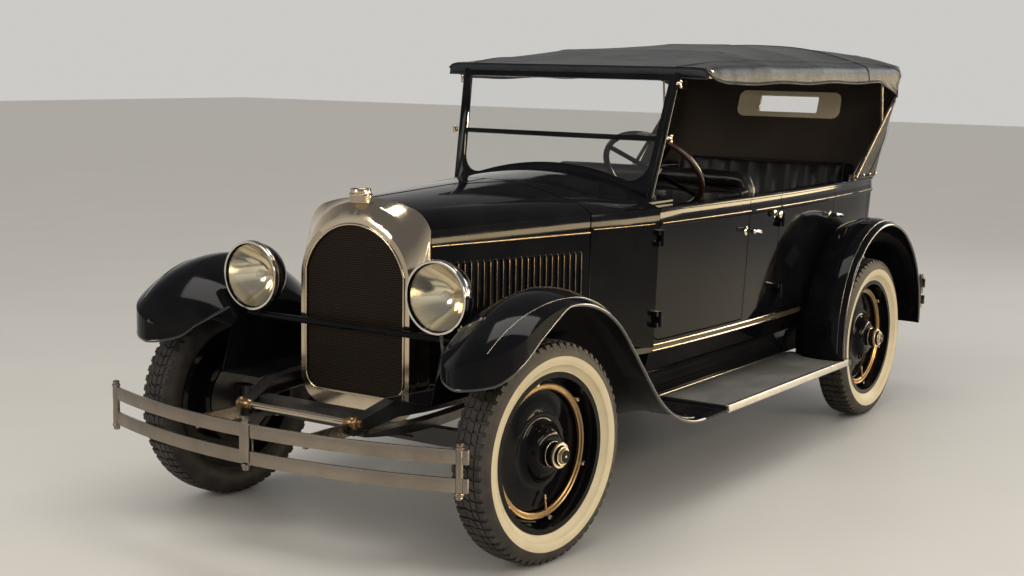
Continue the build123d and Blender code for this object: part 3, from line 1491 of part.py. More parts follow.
cushions = [
    # name, half width, then x and height of the four corners from front foot round to back foot
    ("front_cushion", seat_half, (-1480, 745.3), (-1474, 905), (-1960, 885), (-1960, 745.3)),
    ("front_squab", seat_half, (-1890, 908), (-1906, 1172), (-2018.1, 1172), (-2009.1, 908)),
    ("rear_cushion", seat_half - 20, (-2680, 770.3), (-2672, 925), (-3180, 900), (-3180, 770.3)),
    ("rear_squab", seat_half - 46, (-3110, 903.8), (-3185, 1235), (-3300, 1235), (-3290, 903.8)),
]
for name, half, front_foot, front_top, back_top, back_foot in cushions:
    with BuildPart() as cushion:
        with BuildSketch(Plane.XZ.offset(-half)) as cushion_side:
            with BuildLine():
                Polyline(
                    (front_axle_x + front_foot[0], front_foot[1]),
                    (front_axle_x + front_top[0], front_top[1]),
                    (front_axle_x + back_top[0], back_top[1]),
                    (front_axle_x + back_foot[0], back_foot[1]),
                    close=True,
                )
            make_face()
            fillet(cushion_side.vertices().sort_by(Axis.Y)[-2:], 38)
        extrude(amount=2 * half)
    cushion.part.label = name
    export_step(cushion.part, "parts/" + name + ".step")

# Windshield: a leaning frame with an arched foot that follows the deck, side posts on round
# feet and a bar that parts the two panes.
screen_x = front_axle_x - 1150
screen_z = 1117.0
screen_lean = 14.4
screen_half = 470.0
screen_top_half = 512.0
screen_height = 536.0
frame_depth = 22.0
frame_width = 22.0
pane_bar = 272.0
post_radius = 13.0
lean = radians(screen_lean)
screen_plane = Plane(
    origin=(screen_x, 0, screen_z),
    x_dir=(0, 1, 0),
    z_dir=(cos(lean), 0, sin(lean)),
)
with BuildSketch(screen_plane) as pane_faces:
    with BuildLine():
        pane_foot = ThreePointArc(
            (-screen_half + frame_width, 62),
            (0, 152),
            (screen_half - frame_width, 62),
        )
        Polyline(
            pane_foot @ 1,
            (screen_half - frame_width + 19, pane_bar - 9),
            (-screen_half + frame_width - 19, pane_bar - 9),
            pane_foot @ 0,
        )
    make_face()
    fillet(pane_faces.vertices().sort_by(Axis.Y)[:2], 85)
    with BuildLine():
        Polyline(
            (screen_half - frame_width + 20, pane_bar + 9),
            (screen_top_half - frame_width, screen_height - frame_width),
            (-screen_top_half + frame_width, screen_height - frame_width),
            (-screen_half + frame_width - 20, pane_bar + 9),
            close=True,
        )
    make_face()
with BuildPart() as windshield_frame:
    with BuildSketch(screen_plane):
        with BuildLine():
            frame_foot = ThreePointArc((-screen_half, 30), (0, 120), (screen_half, 30))
            Polyline(
                frame_foot @ 1,
                (screen_top_half, screen_height),
                (-screen_top_half, screen_height),
                frame_foot @ 0,
            )
        make_face()
    extrude(amount=frame_depth / 2, both=True)
    with BuildSketch(screen_plane):
        add(pane_faces.sketch_local)
    extrude(amount=frame_depth, both=True, mode=Mode.SUBTRACT)
    for side in (1, -1):
        post_foot = screen_plane.from_local_coords(Vector(side * (screen_half + 6), 24, 0))
        post_top = screen_plane.from_local_coords(Vector(side * (screen_top_half + 6), screen_height + 8, 0))
        with BuildSketch(Plane(origin=post_foot, z_dir=post_top - post_foot)):
            Circle(post_radius)
        extrude(amount=(post_top - post_foot).length)
        with BuildSketch(Plane.XY.offset(post_foot.Z - 6)):
            with Locations((post_foot.X, post_foot.Y)):
                Circle(26)
        extrude(amount=14)
    add(cowl.part, mode=Mode.SUBTRACT)
windshield_frame.part.label = "windshield_frame"
export_step(windshield_frame.part, "parts/windshield_frame.step")
with BuildPart() as windshield_glass:
    with BuildSketch(screen_plane):
        add(pane_faces.sketch_local)
    extrude(amount=2.5, both=True)
windshield_glass.part.label = "windshield_glass"
export_step(windshield_glass.part, "parts/windshield_glass.step")

# Soft top: a fabric roof crowned both ways, with short side valances and a back curtain that
# wraps round the rear corners to the main irons.
roof_half = 641.0
fabric = 6.0
roof_front_x = front_axle_x - 1315
roof_back_x = front_axle_x - 3622
curtain_foot_x = front_axle_x - 3440
curtain_foot_z = belt_top + fit
curtain_turn_x = front_axle_x - 3612
curtain_turn_z = 1647.0
valance_z = 1602.0
bow_depth = 24.0
roof_layers = []
for inset in (0, fabric, fabric + bow_depth):
    with BuildPart() as layer:
        with BuildSketch(Plane.XZ.offset(-700)):
            with BuildLine():
                Line((roof_front_x + inset, 1100 - inset), (roof_front_x + inset, 1670 - inset))
                ThreePointArc(
                    (roof_front_x + inset, 1670 - inset),
                    (front_axle_x - 2200, 1766 - inset),
                    (front_axle_x - 3080, 1784 - inset),
                )
                ThreePointArc(
                    (front_axle_x - 3080, 1784 - inset),
                    (front_axle_x - 3400, 1766 - inset),
                    (front_axle_x - 3566 + inset * 0.5, 1706 - inset),
                )
                ThreePointArc(
                    (front_axle_x - 3566 + inset * 0.5, 1706 - inset),
                    (front_axle_x - 3606 + inset, 1682 - inset * 0.5),
                    (roof_back_x + inset, curtain_turn_z),
                )
                Polyline(
                    (roof_back_x + inset, curtain_turn_z),
                    (curtain_foot_x + inset, curtain_foot_z),
                    (curtain_foot_x + inset, 1100 - inset),
                    (roof_front_x + inset, 1100 - inset),
                )
            make_face()
        extrude(amount=1400)
        with BuildSketch(Plane.YZ.offset(roof_back_x - 100)):
            with BuildLine():
                Line((-600 + inset, 1100 - inset), (-roof_half + inset, 1500))
                Line((-roof_half + inset, 1500), (-roof_half + inset, 1640 - inset))
                ThreePointArc(
                    (-roof_half + inset, 1640 - inset),
                    (-roof_half + 12 + inset, 1672 - inset),
                    (-roof_half + 50 + inset, 1690 - inset),
                )
                ThreePointArc(
                    (-roof_half + 50 + inset, 1690 - inset),
                    (0, 1786 - inset),
                    (roof_half - 50 - inset, 1690 - inset),
                )
                ThreePointArc(
                    (roof_half - 50 - inset, 1690 - inset),
                    (roof_half - 12 - inset, 1672 - inset),
                    (roof_half - inset, 1640 - inset),
                )
                Line((roof_half - inset, 1640 - inset), (roof_half - inset, 1500))
                Polyline((roof_half - inset, 1500), (600 - inset, 1100 - inset), (-600 + inset, 1100 - inset))
            make_face()
        extrude(amount=3000, mode=Mode.INTERSECT)
        with BuildSketch(Plane.XY.offset(1050)):
            with BuildLine():
                Polyline(
                    (roof_front_x + 300, roof_half - inset),
                    (roof_back_x + 190, roof_half - inset),
                )
                ThreePointArc(
                    (roof_back_x + 190, roof_half - inset),
                    (roof_back_x + 55 + inset * 0.7, roof_half - 55 - inset * 0.7),
                    (roof_back_x + inset, roof_half - 190),
                )
                Line((roof_back_x + inset, roof_half - 190), (roof_back_x + inset, -roof_half + 190))
                ThreePointArc(
                    (roof_back_x + inset, -roof_half + 190),
                    (roof_back_x + 55 + inset * 0.7, -roof_half + 55 + inset * 0.7),
                    (roof_back_x + 190, -roof_half + inset),
                )
                Polyline(
                    (roof_back_x + 190, -roof_half + inset),
                    (roof_front_x + 300, -roof_half + inset),
                    (roof_front_x + 300, roof_half - inset),
                )
            make_face()
        extrude(amount=900, mode=Mode.INTERSECT)
    roof_layers.append(layer.part)

iron_foot_x = front_axle_x - 2973
iron_foot_z = belt_top + 12
iron_top_x = front_axle_x - 3470
iron_top_z = 1540.0
iron_y = roof_half - 21
iron_radius = 10.0
window_half = 295.0
window_height = 145.0
window_z = 1472.0
curtain_slope = (roof_back_x - curtain_foot_x) / (curtain_turn_z - curtain_foot_z)
window_plane = Plane(
    origin=(curtain_foot_x + curtain_slope * (window_z - curtain_foot_z), 0, window_z),
    x_dir=(0, 1, 0),
    z_dir=(1, 0, -curtain_slope),
)
with BuildPart() as canopy:
    add(roof_layers[0])
    add(roof_layers[1], mode=Mode.SUBTRACT)
    with Locations((rear_axle_x, 0, curtain_foot_z - 200)):
        Box(6000, 3000, 400, mode=Mode.SUBTRACT)
    with BuildSketch(Plane.XZ.offset(-900)):
        with BuildLine():
            Polyline(
                (roof_front_x + 50, 900),
                (roof_front_x + 50, 1654),
                (front_axle_x - 1362, 1654),
                (front_axle_x - 1445, 1616),
                (front_axle_x - 1525, valance_z),
                (front_axle_x - 3100, valance_z),
                (front_axle_x - 3340, valance_z - 12),
                (iron_top_x - 12, iron_top_z - 12),
                (iron_foot_x - 12, iron_foot_z - 15),
                (iron_foot_x - 12, 900),
                close=True,
            )
        make_face()
    extrude(amount=1800, mode=Mode.SUBTRACT)
    with BuildSketch(window_plane):
        RectangleRounded(2 * window_half, window_height, 40)
    extrude(amount=40, both=True, mode=Mode.SUBTRACT)
canopy.part.label = "canopy"
export_step(canopy.part, "parts/canopy.step")

# Rear window: a plated frame round a smaller pane, set in the back curtain.
with BuildPart() as rear_window:
    with BuildSketch(window_plane):
        RectangleRounded(2 * window_half, window_height, 40)
    extrude(amount=fabric)
rear_window.part.label = "rear_window"
export_step(rear_window.part, "parts/rear_window.step")

# Top bows: arched wooden hoops under the roof, the header over the windshield and the jointed
# irons at the rear corners.
bow_width = 30.0
header_foot = 1624.0
bows_table = [
    # x, lowest point of the hoop
    (front_axle_x - 1345, header_foot),
    (front_axle_x - 1900, 1614),
    (front_axle_x - 2480, 1614),
    (front_axle_x - 3060, 1614),
    (front_axle_x - 3490, iron_top_z - 14),
]
with BuildPart() as top_bows:
    for x, low in bows_table:
        with Locations((x, 0, (low + 1900) / 2)):
            Box(bow_width, 1400, 1900 - low)
    add(roof_layers[1], mode=Mode.INTERSECT)
    add(roof_layers[2], mode=Mode.SUBTRACT)
    for side in (1, -1):
        irons = [
            ((iron_foot_x, side * iron_y, iron_foot_z), (iron_top_x, side * iron_y, iron_top_z), iron_radius),
            ((iron_foot_x - 323, side * iron_y, 1403), (iron_foot_x - 300, side * iron_y, 1618), 6),
        ]
        for foot, top, radius in irons:
            with BuildSketch(Plane(origin=foot, z_dir=Vector(top) - Vector(foot))):
                Circle(radius)
            extrude(amount=(Vector(top) - Vector(foot)).length)
        with Locations((iron_foot_x, side * (iron_y - 12), belt_top + 14)):
            Box(28, 30, 28)
top_bows.part.label = "top_bows"
export_step(top_bows.part, "parts/top_bows.step")

# Steering: a box on the left rail, the jacket that leans back through the toe board, and a
# wheel of four spokes with its shaft in the jacket.
with BuildPart() as steering_column:
    with BuildSketch(Plane(origin=hub_point + column_axis * 40, z_dir=column_axis)):
        Circle(jacket_radius)
    extrude(amount=column_length - 40)
    with BuildSketch(Plane(origin=hub_point + column_axis * 40, z_dir=column_axis)):
        Circle(shaft_radius + fit)
    extrude(amount=socket_depth, mode=Mode.SUBTRACT)
    box_point = hub_point + column_axis * column_length
    box_side = rail_centre(box_point.X + 55) - rail_width / 2 - fit
    box_width = box_side - hub_y + 32
    with Locations((box_point.X, box_side - box_width / 2, box_point.Z)):
        Box(110, box_width, 90)
steering_column.part.label = "steering_column"
export_step(steering_column.part, "parts/steering_column.step")

with BuildPart() as steering_wheel:
    grip_plane = Plane(origin=hub_point, x_dir=(0, 1, 0), z_dir=column_axis)
    with BuildSketch(Plane(origin=hub_point, x_dir=grip_plane.y_dir, z_dir=(0, 1, 0))):
        with Locations((grip_radius, 0)):
            Circle(grip_thick)
    revolve(axis=Axis(hub_point, column_axis))
    with BuildSketch(grip_plane.offset(-14)):
        Circle(34)
    extrude(amount=34)
    with BuildSketch(grip_plane.offset(20)):
        Circle(shaft_radius)
    extrude(amount=20 + socket_depth - 6)
    with BuildSketch(grip_plane.offset(-4)):
        with PolarLocations((grip_radius + 30) / 2, 4, start_angle=45 - 14 * steer_at_rest):
            Rectangle(grip_radius - 30, 22)
    extrude(amount=8)
steering_wheel.part.label = "steering_wheel"
export_step(steering_wheel.part, "parts/steering_wheel.step")
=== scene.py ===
from math import atan2, cos, exp, hypot, log, pi, radians, sin, sqrt

import bmesh
import bpy
from mathutils import Matrix, Vector, noise
from mathutils.bvhtree import BVHTree


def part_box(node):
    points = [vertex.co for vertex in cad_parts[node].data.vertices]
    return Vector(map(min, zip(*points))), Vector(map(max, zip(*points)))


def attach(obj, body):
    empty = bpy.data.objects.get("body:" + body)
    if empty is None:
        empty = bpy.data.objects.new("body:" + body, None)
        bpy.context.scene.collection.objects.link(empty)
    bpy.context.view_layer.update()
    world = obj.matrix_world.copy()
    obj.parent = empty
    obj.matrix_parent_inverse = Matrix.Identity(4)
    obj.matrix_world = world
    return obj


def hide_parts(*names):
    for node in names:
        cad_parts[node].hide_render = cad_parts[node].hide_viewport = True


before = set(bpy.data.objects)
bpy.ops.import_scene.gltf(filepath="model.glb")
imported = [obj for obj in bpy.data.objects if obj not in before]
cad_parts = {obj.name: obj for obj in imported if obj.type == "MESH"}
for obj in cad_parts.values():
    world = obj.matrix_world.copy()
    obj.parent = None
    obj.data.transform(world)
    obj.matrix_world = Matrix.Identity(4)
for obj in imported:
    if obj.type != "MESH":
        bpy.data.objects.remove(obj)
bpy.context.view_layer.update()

# Studio: a plain pale floor, an even pale surround and six soft lamps, seen from the height of a
# standing visitor ahead and to the left of the car.
camera_place = Vector((5.9735, 3.516, 1.691))
camera_yaw = radians(-146.29)
camera_pitch = radians(-8.29)
camera_roll = radians(0.99)
camera_data = bpy.data.cameras.new("camera")
camera_data.sensor_width = 36
camera_data.lens = 55.39
camera_data.clip_end = 200
camera = bpy.data.objects.new("camera", camera_data)
bpy.context.scene.collection.objects.link(camera)
look = Vector((
    cos(camera_pitch) * cos(camera_yaw),
    cos(camera_pitch) * sin(camera_yaw),
    sin(camera_pitch),
))
level_right = look.cross(Vector((0, 0, 1))).normalized()
level_up = level_right.cross(look)
right = cos(camera_roll) * level_right + sin(camera_roll) * level_up
up = cos(camera_roll) * level_up - sin(camera_roll) * level_right
camera_turn = Matrix((right, up, -look)).transposed().to_4x4()
camera.matrix_world = Matrix.Translation(camera_place) @ camera_turn
bpy.context.scene.camera = camera
bpy.context.scene.view_settings.view_transform = "Standard"


def feed(tree, node, feeds):
    """Sets inputs of a shader node, each to a value or to another node's output."""
    for socket, value in feeds.items():
        if isinstance(value, bpy.types.NodeSocket):
            tree.links.new(value, node.inputs[socket])
        else:
            node.inputs[socket].default_value = value


def add_node(tree, kind, feeds, **settings):
    """Adds a shader node with its settings and inputs."""
    node = tree.nodes.new("ShaderNode" + kind)
    for setting, value in settings.items():
        setattr(node, setting, value)
    feed(tree, node, feeds)
    return node


def blend(tree, share, first, second):
    """The output of a mix of two colours."""
    feeds = {"Factor": share, "A": (*first, 1), "B": (*second, 1)}
    return add_node(tree, "Mix", feeds, data_type="RGBA").outputs["Result"]


world = bpy.data.worlds.new("surround")
bpy.context.scene.world = world
world.use_nodes = True
air = world.node_tree
air.nodes.clear()
ray = add_node(air, "LightPath", {}).outputs
through = ray["Is Transmission Ray"]
mirrored = add_node(air, "Math", {0: through, 1: ray["Is Glossy Ray"]}, operation="MAXIMUM")
looked_at = {0: ray["Is Camera Ray"], 1: mirrored.outputs[0]}
seen = add_node(air, "Math", looked_at, operation="MAXIMUM").outputs[0]
heading = add_node(air, "TexCoord", {}).outputs["Generated"]
height = add_node(air, "SeparateXYZ", {0: heading}).outputs["Z"]
height_share = add_node(air, "MapRange", {"Value": height, "From Min": 0.12, "From Max": 0.55})
wall_tint = blend(air, height_share.outputs["Result"], (0.64, 0.625, 0.60), (0.16, 0.16, 0.17))
plain = add_node(air, "Background", {"Color": (1.0, 0.97, 0.93, 1), "Strength": 0.78}).outputs[0]
backdrop = add_node(air, "Background", {"Color": wall_tint, "Strength": 0.95}).outputs[0]
choice = add_node(air, "MixShader", {0: seen, 1: plain, 2: backdrop})
add_node(air, "OutputWorld", {"Surface": choice.outputs[0]})

softboxes = [
    # name, place, aim, width, height, watts, colour
    ("softbox_over", (1.0, 0.5, 5.2), (0.0, 0.0, 0.0), 3.4, 1.8, 115, (1.0, 0.97, 0.92)),
    ("softbox_left", (1.0, 6.5, 3.4), (0.0, 0.0, 0.7), 3.5, 1.3, 88, (1.0, 0.90, 0.74)),
    ("softbox_front", (7.5, -2.0, 3.4), (1.0, 0.0, 0.7), 2.4, 1.8, 100, (1.0, 0.94, 0.85)),
    ("softbox_back", (-7.0, 2.5, 3.6), (-1.0, 0.0, 0.9), 2.4, 1.4, 70, (0.93, 0.96, 1.0)),
    ("softbox_low", (-6.5, 5.4, 1.85), (0.0, 0.6, 1.1), 6.5, 0.85, 72, (1.0, 0.78, 0.46)),
    ("softbox_side", (-1.2, 6.8, 1.55), (0.9, 0.5, 1.1), 5.0, 0.75, 56, (1.0, 0.78, 0.46)),
]
for name, place, aim, width, height, watts, colour in softboxes:
    # The two low strips are there for the paint's long reflections and don't light the floor.
    low_strip = place[2] < 2
    lamp = bpy.data.lights.new(name, "AREA")
    lamp.shape = "RECTANGLE"
    lamp.size = width
    lamp.size_y = height
    lamp.energy = watts
    lamp.color = colour
    lamp.spread = radians(85 if low_strip else 180)
    softbox = bpy.data.objects.new(name, lamp)
    bpy.context.scene.collection.objects.link(softbox)
    softbox.location = place
    softbox.visible_diffuse = not low_strip
    softbox.rotation_euler = (Vector(aim) - Vector(place)).to_track_quat("-Z", "Y").to_euler()


def new_finish(name, colour, rough=0.5, metal=0.0):
    """A material with its Principled shader, its node tree and its texture coordinates."""
    finish = bpy.data.materials.new(name)
    finish.use_nodes = True
    finish.diffuse_color = (*colour, 1)
    tree = finish.node_tree
    shader = tree.nodes["Principled BSDF"]
    feed(tree, shader, {"Base Color": (*colour, 1), "Roughness": rough, "Metallic": metal})
    return finish, shader, tree, add_node(tree, "TexCoord", {}).outputs["Object"]


pale_floor, shader, tree, where = new_finish("pale_floor", (0.56, 0.54, 0.50), 0.42)
cloud = add_node(tree, "TexNoise", {"Scale": 1.3, "Vector": where}).outputs["Fac"]
floor_tint = blend(tree, cloud, (0.545, 0.525, 0.485), (0.59, 0.568, 0.525))
feed(tree, shader, {"Base Color": floor_tint})
floor_mesh = bpy.data.meshes.new("floor_plane")
ground = bmesh.new()
bmesh.ops.create_grid(ground, x_segments=1, y_segments=1, size=40)
ground.to_mesh(floor_mesh)
ground.free()
floor_plane = bpy.data.objects.new("floor_plane", floor_mesh)
bpy.context.scene.collection.objects.link(floor_plane)
floor_mesh.materials.append(pale_floor)


# Paint, plating and bare metal. The paint is deep black coach enamel, polished by hand, so it
# has a faint ripple, fine dust and softer edges. The bright parts are warm old nickel.
def new_group(name, taken, given):
    """A shader node group with its sockets, as the group, its input node and its output node."""
    group = bpy.data.node_groups.new(name, "ShaderNodeTree")
    for way, sockets in (("INPUT", taken), ("OUTPUT", given)):
        for socket, kind in sockets.items():
            group.interface.new_socket(socket, in_out=way, socket_type="NodeSocket" + kind)
    return group, group.nodes.new("NodeGroupInput"), group.nodes.new("NodeGroupOutput")


wear_group, taken, given = new_group(
    "soft_wear", {"Vector": "Vector", "Size": "Float"}, {"Dust": "Float", "Ripple": "Float"}
)
where, size = taken.outputs["Vector"], taken.outputs["Size"]
broad = add_node(wear_group, "TexNoise", {"Vector": where, "Scale": size, "Detail": 6})
fine = add_node(wear_group, "TexNoise", {"Vector": where, "Scale": 900, "Detail": 2})
dust_range = {"Value": broad.outputs["Fac"], "From Min": 0.42, "From Max": 0.75}
patches = add_node(wear_group, "MapRange", dust_range).outputs["Result"]
specks = add_node(wear_group, "Math", {0: patches, 1: fine.outputs["Fac"]}, operation="MULTIPLY")
feed(wear_group, given, {"Dust": specks.outputs[0], "Ripple": broad.outputs["Fac"]})


def add_wear(tree, where, size):
    """The outputs of the wear group, for patches of one size."""
    return add_node(tree, "Group", {"Vector": where, "Size": size}, node_tree=wear_group).outputs


def worn_finish(
    name, colour, dusty, rough, rough_dusty, metal=0.0, size=6.0, ripple=0.0, coat=0.0, shine=0.5
):
    """A finish whose colour and roughness drift a little with dust and handling."""
    finish, shader, tree, where = new_finish(name, colour, rough, metal)
    wear = add_wear(tree, where, size)
    polish = {"Value": wear["Dust"], "To Min": rough, "To Max": rough_dusty}
    feed(tree, shader, {
        "Base Color": blend(tree, wear["Dust"], colour, dusty),
        "Roughness": add_node(tree, "MapRange", polish).outputs["Result"],
        "Specular IOR Level": shine,
        "Coat Weight": coat,
        "Coat Roughness": 0.04,
    })
    if ripple:
        bump = {"Distance": ripple, "Strength": 0.35, "Height": wear["Ripple"]}
        feed(tree, shader, {"Normal": add_node(tree, "Bump", bump).outputs["Normal"]})
    return finish


enamel = worn_finish(
    "black_enamel", (0.004, 0.004, 0.005), (0.012, 0.0115, 0.011), 0.06, 0.18, ripple=0.0012, shine=0.10
)
bead_enamel = worn_finish(
    "bead_enamel", (0.006, 0.0055, 0.005), (0.018, 0.016, 0.014), 0.08, 0.2, size=14, shine=0.7, coat=1.0
)
chassis_paint = worn_finish(
    "chassis_black", (0.012, 0.012, 0.012), (0.06, 0.052, 0.045), 0.3, 0.6
)


def bare_metal(name, colour, dusty, rough, rough_dusty, size=6.0, metal=1.0):
    """A plated or bare metal finish."""
    return worn_finish(name, colour, dusty, rough, rough_dusty, metal=metal, size=size)


# This warm brass colour on the belt and hood beads is a painted gold reflection of warm light, not
# rubbed metal.
painted_reflection_bead = bare_metal("painted_reflection_bead", (0.34, 0.26, 0.165), (0.2, 0.145, 0.09), 0.2, 0.4, 15)
# The louvre lips' warm copper colour is a painted highlight: warm light caught on their rounded edges.
louvre_painted_highlight = bare_metal("louvre_painted_highlight", (0.22, 0.165, 0.11), (0.13, 0.095, 0.062), 0.24, 0.45, 15)
nickel = bare_metal("warm_nickel", (0.63, 0.53, 0.39), (0.5, 0.41, 0.29), 0.13, 0.34)
bar_nickel = bare_metal("dull_nickel", (0.27, 0.232, 0.188), (0.17, 0.14, 0.108), 0.25, 0.42, 9)
bright_nickel = bare_metal("polished_nickel", (0.75, 0.7, 0.62), (0.62, 0.56, 0.48), 0.08, 0.22)
cap_nickel = bare_metal("cap_nickel", (0.78, 0.67, 0.49), (0.62, 0.52, 0.37), 0.3, 0.46, 20)
bronze = bare_metal("tarnished_bronze", (0.36, 0.24, 0.12), (0.2, 0.13, 0.07), 0.28, 0.5, 14)
iron = bare_metal("cast_iron", (0.09, 0.1, 0.095), (0.14, 0.12, 0.1), 0.5, 0.8, 18, metal=0.4)
steel = bare_metal("bare_steel", (0.3, 0.29, 0.28), (0.2, 0.17, 0.14), 0.35, 0.6, 12)


def dress(names, finishes, angle=30, bevel=0.0, pick=None):
    """Gives CAD nodes their finish and smooths the shading of their curved faces."""
    if not isinstance(finishes, list):
        finishes = [finishes]
    for name in names:
        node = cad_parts[name]
        node.data.materials.clear()
        for finish in finishes:
            node.data.materials.append(finish)
        for face in node.data.polygons:
            face.use_smooth = True
            face.material_index = 1 if pick and pick(face) else 0
        weld = node.modifiers.new("weld", "WELD")
        weld.merge_threshold = 0.00002
        if bevel:
            edge = node.modifiers.new("edge", "BEVEL")
            edge.width = bevel
            edge.segments = 2
            edge.limit_method = "ANGLE"
            edge.angle_limit = radians(40)
        split = node.modifiers.new("split", "EDGE_SPLIT")
        split.split_angle = radians(angle)


def finish_piece(name, shape, finishes, body, smooth=32, turn=None, recalc=True):
    """Turns a bmesh into a piece of the car that rides on a body."""
    if turn is not None:
        bmesh.ops.transform(shape, matrix=turn, verts=shape.verts)
    if recalc:
        bmesh.ops.recalc_face_normals(shape, faces=shape.faces)
    mesh = bpy.data.meshes.new(name)
    shape.to_mesh(mesh)
    shape.free()
    for face in mesh.polygons:
        face.use_smooth = True
    mesh.set_sharp_from_angle(angle=radians(smooth))
    for finish in finishes if isinstance(finishes, list) else [finishes]:
        mesh.materials.append(finish)
    piece = bpy.data.objects.new(name, mesh)
    bpy.context.scene.collection.objects.link(piece)
    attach(piece, body)
    return piece


chassis = ["frame", "springs", "front_axle", "knuckle_left", "knuckle_right", "rear_axle"]
dress(chassis + ["fuel_tank", "steering_column"], chassis_paint)
dress(["tie_rod", "exhaust"], steel)
dress(["engine"], iron, bevel=0.004)

# Tyres: brown-black rubber casings with a cream sidewall on the outer side only. The tread is
# rows of moulded blocks with lateral grooves that run over the shoulders.
rubber, shader, tree, where = new_finish("tyre_rubber", (0.022, 0.018, 0.015), 0.62)
dust = add_wear(tree, where, 16)["Dust"]
grain = add_node(tree, "TexNoise", {"Scale": 420, "Vector": where}).outputs["Fac"]
bump = add_node(tree, "Bump", {"Distance": 0.0006, "Strength": 0.5, "Height": grain})
rubber_tint = blend(tree, dust, (0.016, 0.013, 0.011), (0.075, 0.056, 0.042))
feed(tree, shader, {"Base Color": rubber_tint, "Normal": bump.outputs["Normal"]})
whitewall = worn_finish("cream_sidewall", (0.68, 0.57, 0.36), (0.55, 0.43, 0.25), 0.5, 0.7, size=11)
tyre_radius = 0.381
steer_at_rest = radians(6)
wheelbase = 2.864
front_x = 1.5925
rear_x = front_x - wheelbase
half_track = 0.72
kingpin_y = 0.62
outset = half_track - kingpin_y
sides = ((1, "left"), (-1, "right"))


def spin(shape, verts, pairs, steps):
    """Joins pairs of vertices and spins them once about the Y axis."""
    edges = [shape.edges.new(pair) for pair in pairs]
    bmesh.ops.spin(
        shape,
        geom=verts + edges,
        cent=(0, 0, 0),
        axis=(0, 1, 0),
        angle=2 * pi,
        steps=steps,
        use_merge=True,
    )


def tyre_shape():
    """The tyre about the Y axis, its outer side towards +Y."""
    shape = bmesh.new()
    section = [
        # across, radius
        (-0.048, 0.262), (-0.050, 0.278), (-0.060, 0.290), (-0.0705, 0.306), (-0.0735, 0.322),
        (-0.0722, 0.338), (-0.067, 0.353), (-0.0625, 0.3605), (-0.061, 0.3655), (-0.055, 0.3698),
        (-0.042, 0.3722), (-0.0, 0.3735), (0.042, 0.3722), (0.055, 0.3698), (0.061, 0.3655),
        (0.0625, 0.3605), (0.067, 0.353), (0.0722, 0.338), (0.0730, 0.3333), (0.0738, 0.3325),
        (0.0739, 0.3312), (0.0734, 0.3305), (0.0735, 0.322), (0.0712, 0.3075), (0.0703, 0.3053),
        (0.0707, 0.3042), (0.0700, 0.303), (0.0685, 0.3022), (0.060, 0.290), (0.0535, 0.2805),
        (0.0540, 0.2788), (0.0530, 0.2772), (0.0505, 0.2765), (0.048, 0.262),
    ]
    ring = [shape.verts.new((0, across, radius)) for across, radius in section]
    spin(shape, ring, zip(ring, ring[1:]), 96)
    bmesh.ops.remove_doubles(shape, verts=shape.verts, dist=0.00002)
    white_low, white_high = 0.2765, 0.3325
    for face in shape.faces:
        middle = face.calc_center_median()
        if middle.y > 0.047 and white_low < hypot(middle.x, middle.z) < white_high:
            face.material_index = 1
    pitches = 64
    blocks = [
        # across low, across high, slant of the block, share of the pitch, base radius, top radius
        (-0.013, 0.013, 0.010, 0.80, 0.371, 0.3808),
        (0.0165, 0.037, 0.004, 0.72, 0.371, 0.3799),
        (-0.037, -0.0165, -0.004, 0.72, 0.371, 0.3799),
    ]
    for pitch in range(pitches):
        start = 2 * pi * pitch / pitches
        for low, high, slant, share, base, top in blocks:
            span = 2 * pi / pitches * share
            for vert in bmesh.ops.create_cube(shape, size=1)["verts"]:
                across = low if vert.co.y < 0 else high
                half_span = span / 2 if vert.co.x > 0 else -span / 2
                turn = start + half_span + slant * vert.co.y / tyre_radius
                radius = top if vert.co.z > 0 else base
                vert.co = Vector((radius * sin(turn), across, radius * cos(turn)))
        for side, word in sides:
            span = 2 * pi / pitches * 0.66
            lug = bmesh.ops.create_cube(shape, size=1)["verts"]
            for vert in lug:
                half_span = span / 2 if vert.co.x > 0 else -span / 2
                if vert.co.y * side > 0:
                    across, radius = (0.0655, 0.3575) if vert.co.z > 0 else (0.056, 0.352)
                    half_span *= 0.8
                else:
                    across, radius = (0.041, 0.3785) if vert.co.z > 0 else (0.041, 0.368)
                turn = start + half_span
                vert.co = Vector((radius * sin(turn), side * across, radius * cos(turn)))
            edges = {e for v in lug for e in v.link_edges}
            crosswise = [e for e in edges if abs(e.verts[0].co.y - e.verts[1].co.y) > 0.01]
            split = bmesh.ops.subdivide_edges(shape, edges=crosswise, cuts=1)
            for item in split["geom_inner"]:
                if isinstance(item, bmesh.types.BMVert):
                    radius = hypot(item.co.x, item.co.z)
                    scale = (0.3755 if radius > 0.363 else 0.366) / radius
                    item.co = Vector((item.co.x * scale, side * 0.0575, item.co.z * scale))
    return shape


def outward(place, side):
    """A move to a place with the Y axis turned to the car's left or right side."""
    return Matrix.Translation(place) @ Matrix.Rotation(0 if side > 0 else pi, 4, "Z")


corners = []
for side, word in sides:
    steer = Matrix.Rotation((0 if side > 0 else pi) - steer_at_rest, 4, "Z")
    kingpin = Matrix.Translation((front_x, side * kingpin_y, tyre_radius))
    place = kingpin @ steer @ Matrix.Translation((0, outset, 0))
    corners.append(("front_" + word, "front_wheel_" + word, place))
for side, word in sides:
    place = outward((rear_x, side * half_track, tyre_radius), side)
    corners.append(("rear_" + word, "rear_wheel_" + word, place))
for name, body, place in corners:
    casing = [rubber, whitewall]
    tyre = finish_piece("casing_" + name, tyre_shape(), casing, body, turn=place)
    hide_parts("tyre_" + name)

# Wheels: pressed discs in black enamel on deep rims. A bronze clamping ring with six nickel
# nuts holds each rim, and a stepped nickel cap screws over the hub.
dress(["wheel_" + name for name, body, place in corners] + ["spare_wheel"], enamel, angle=28)


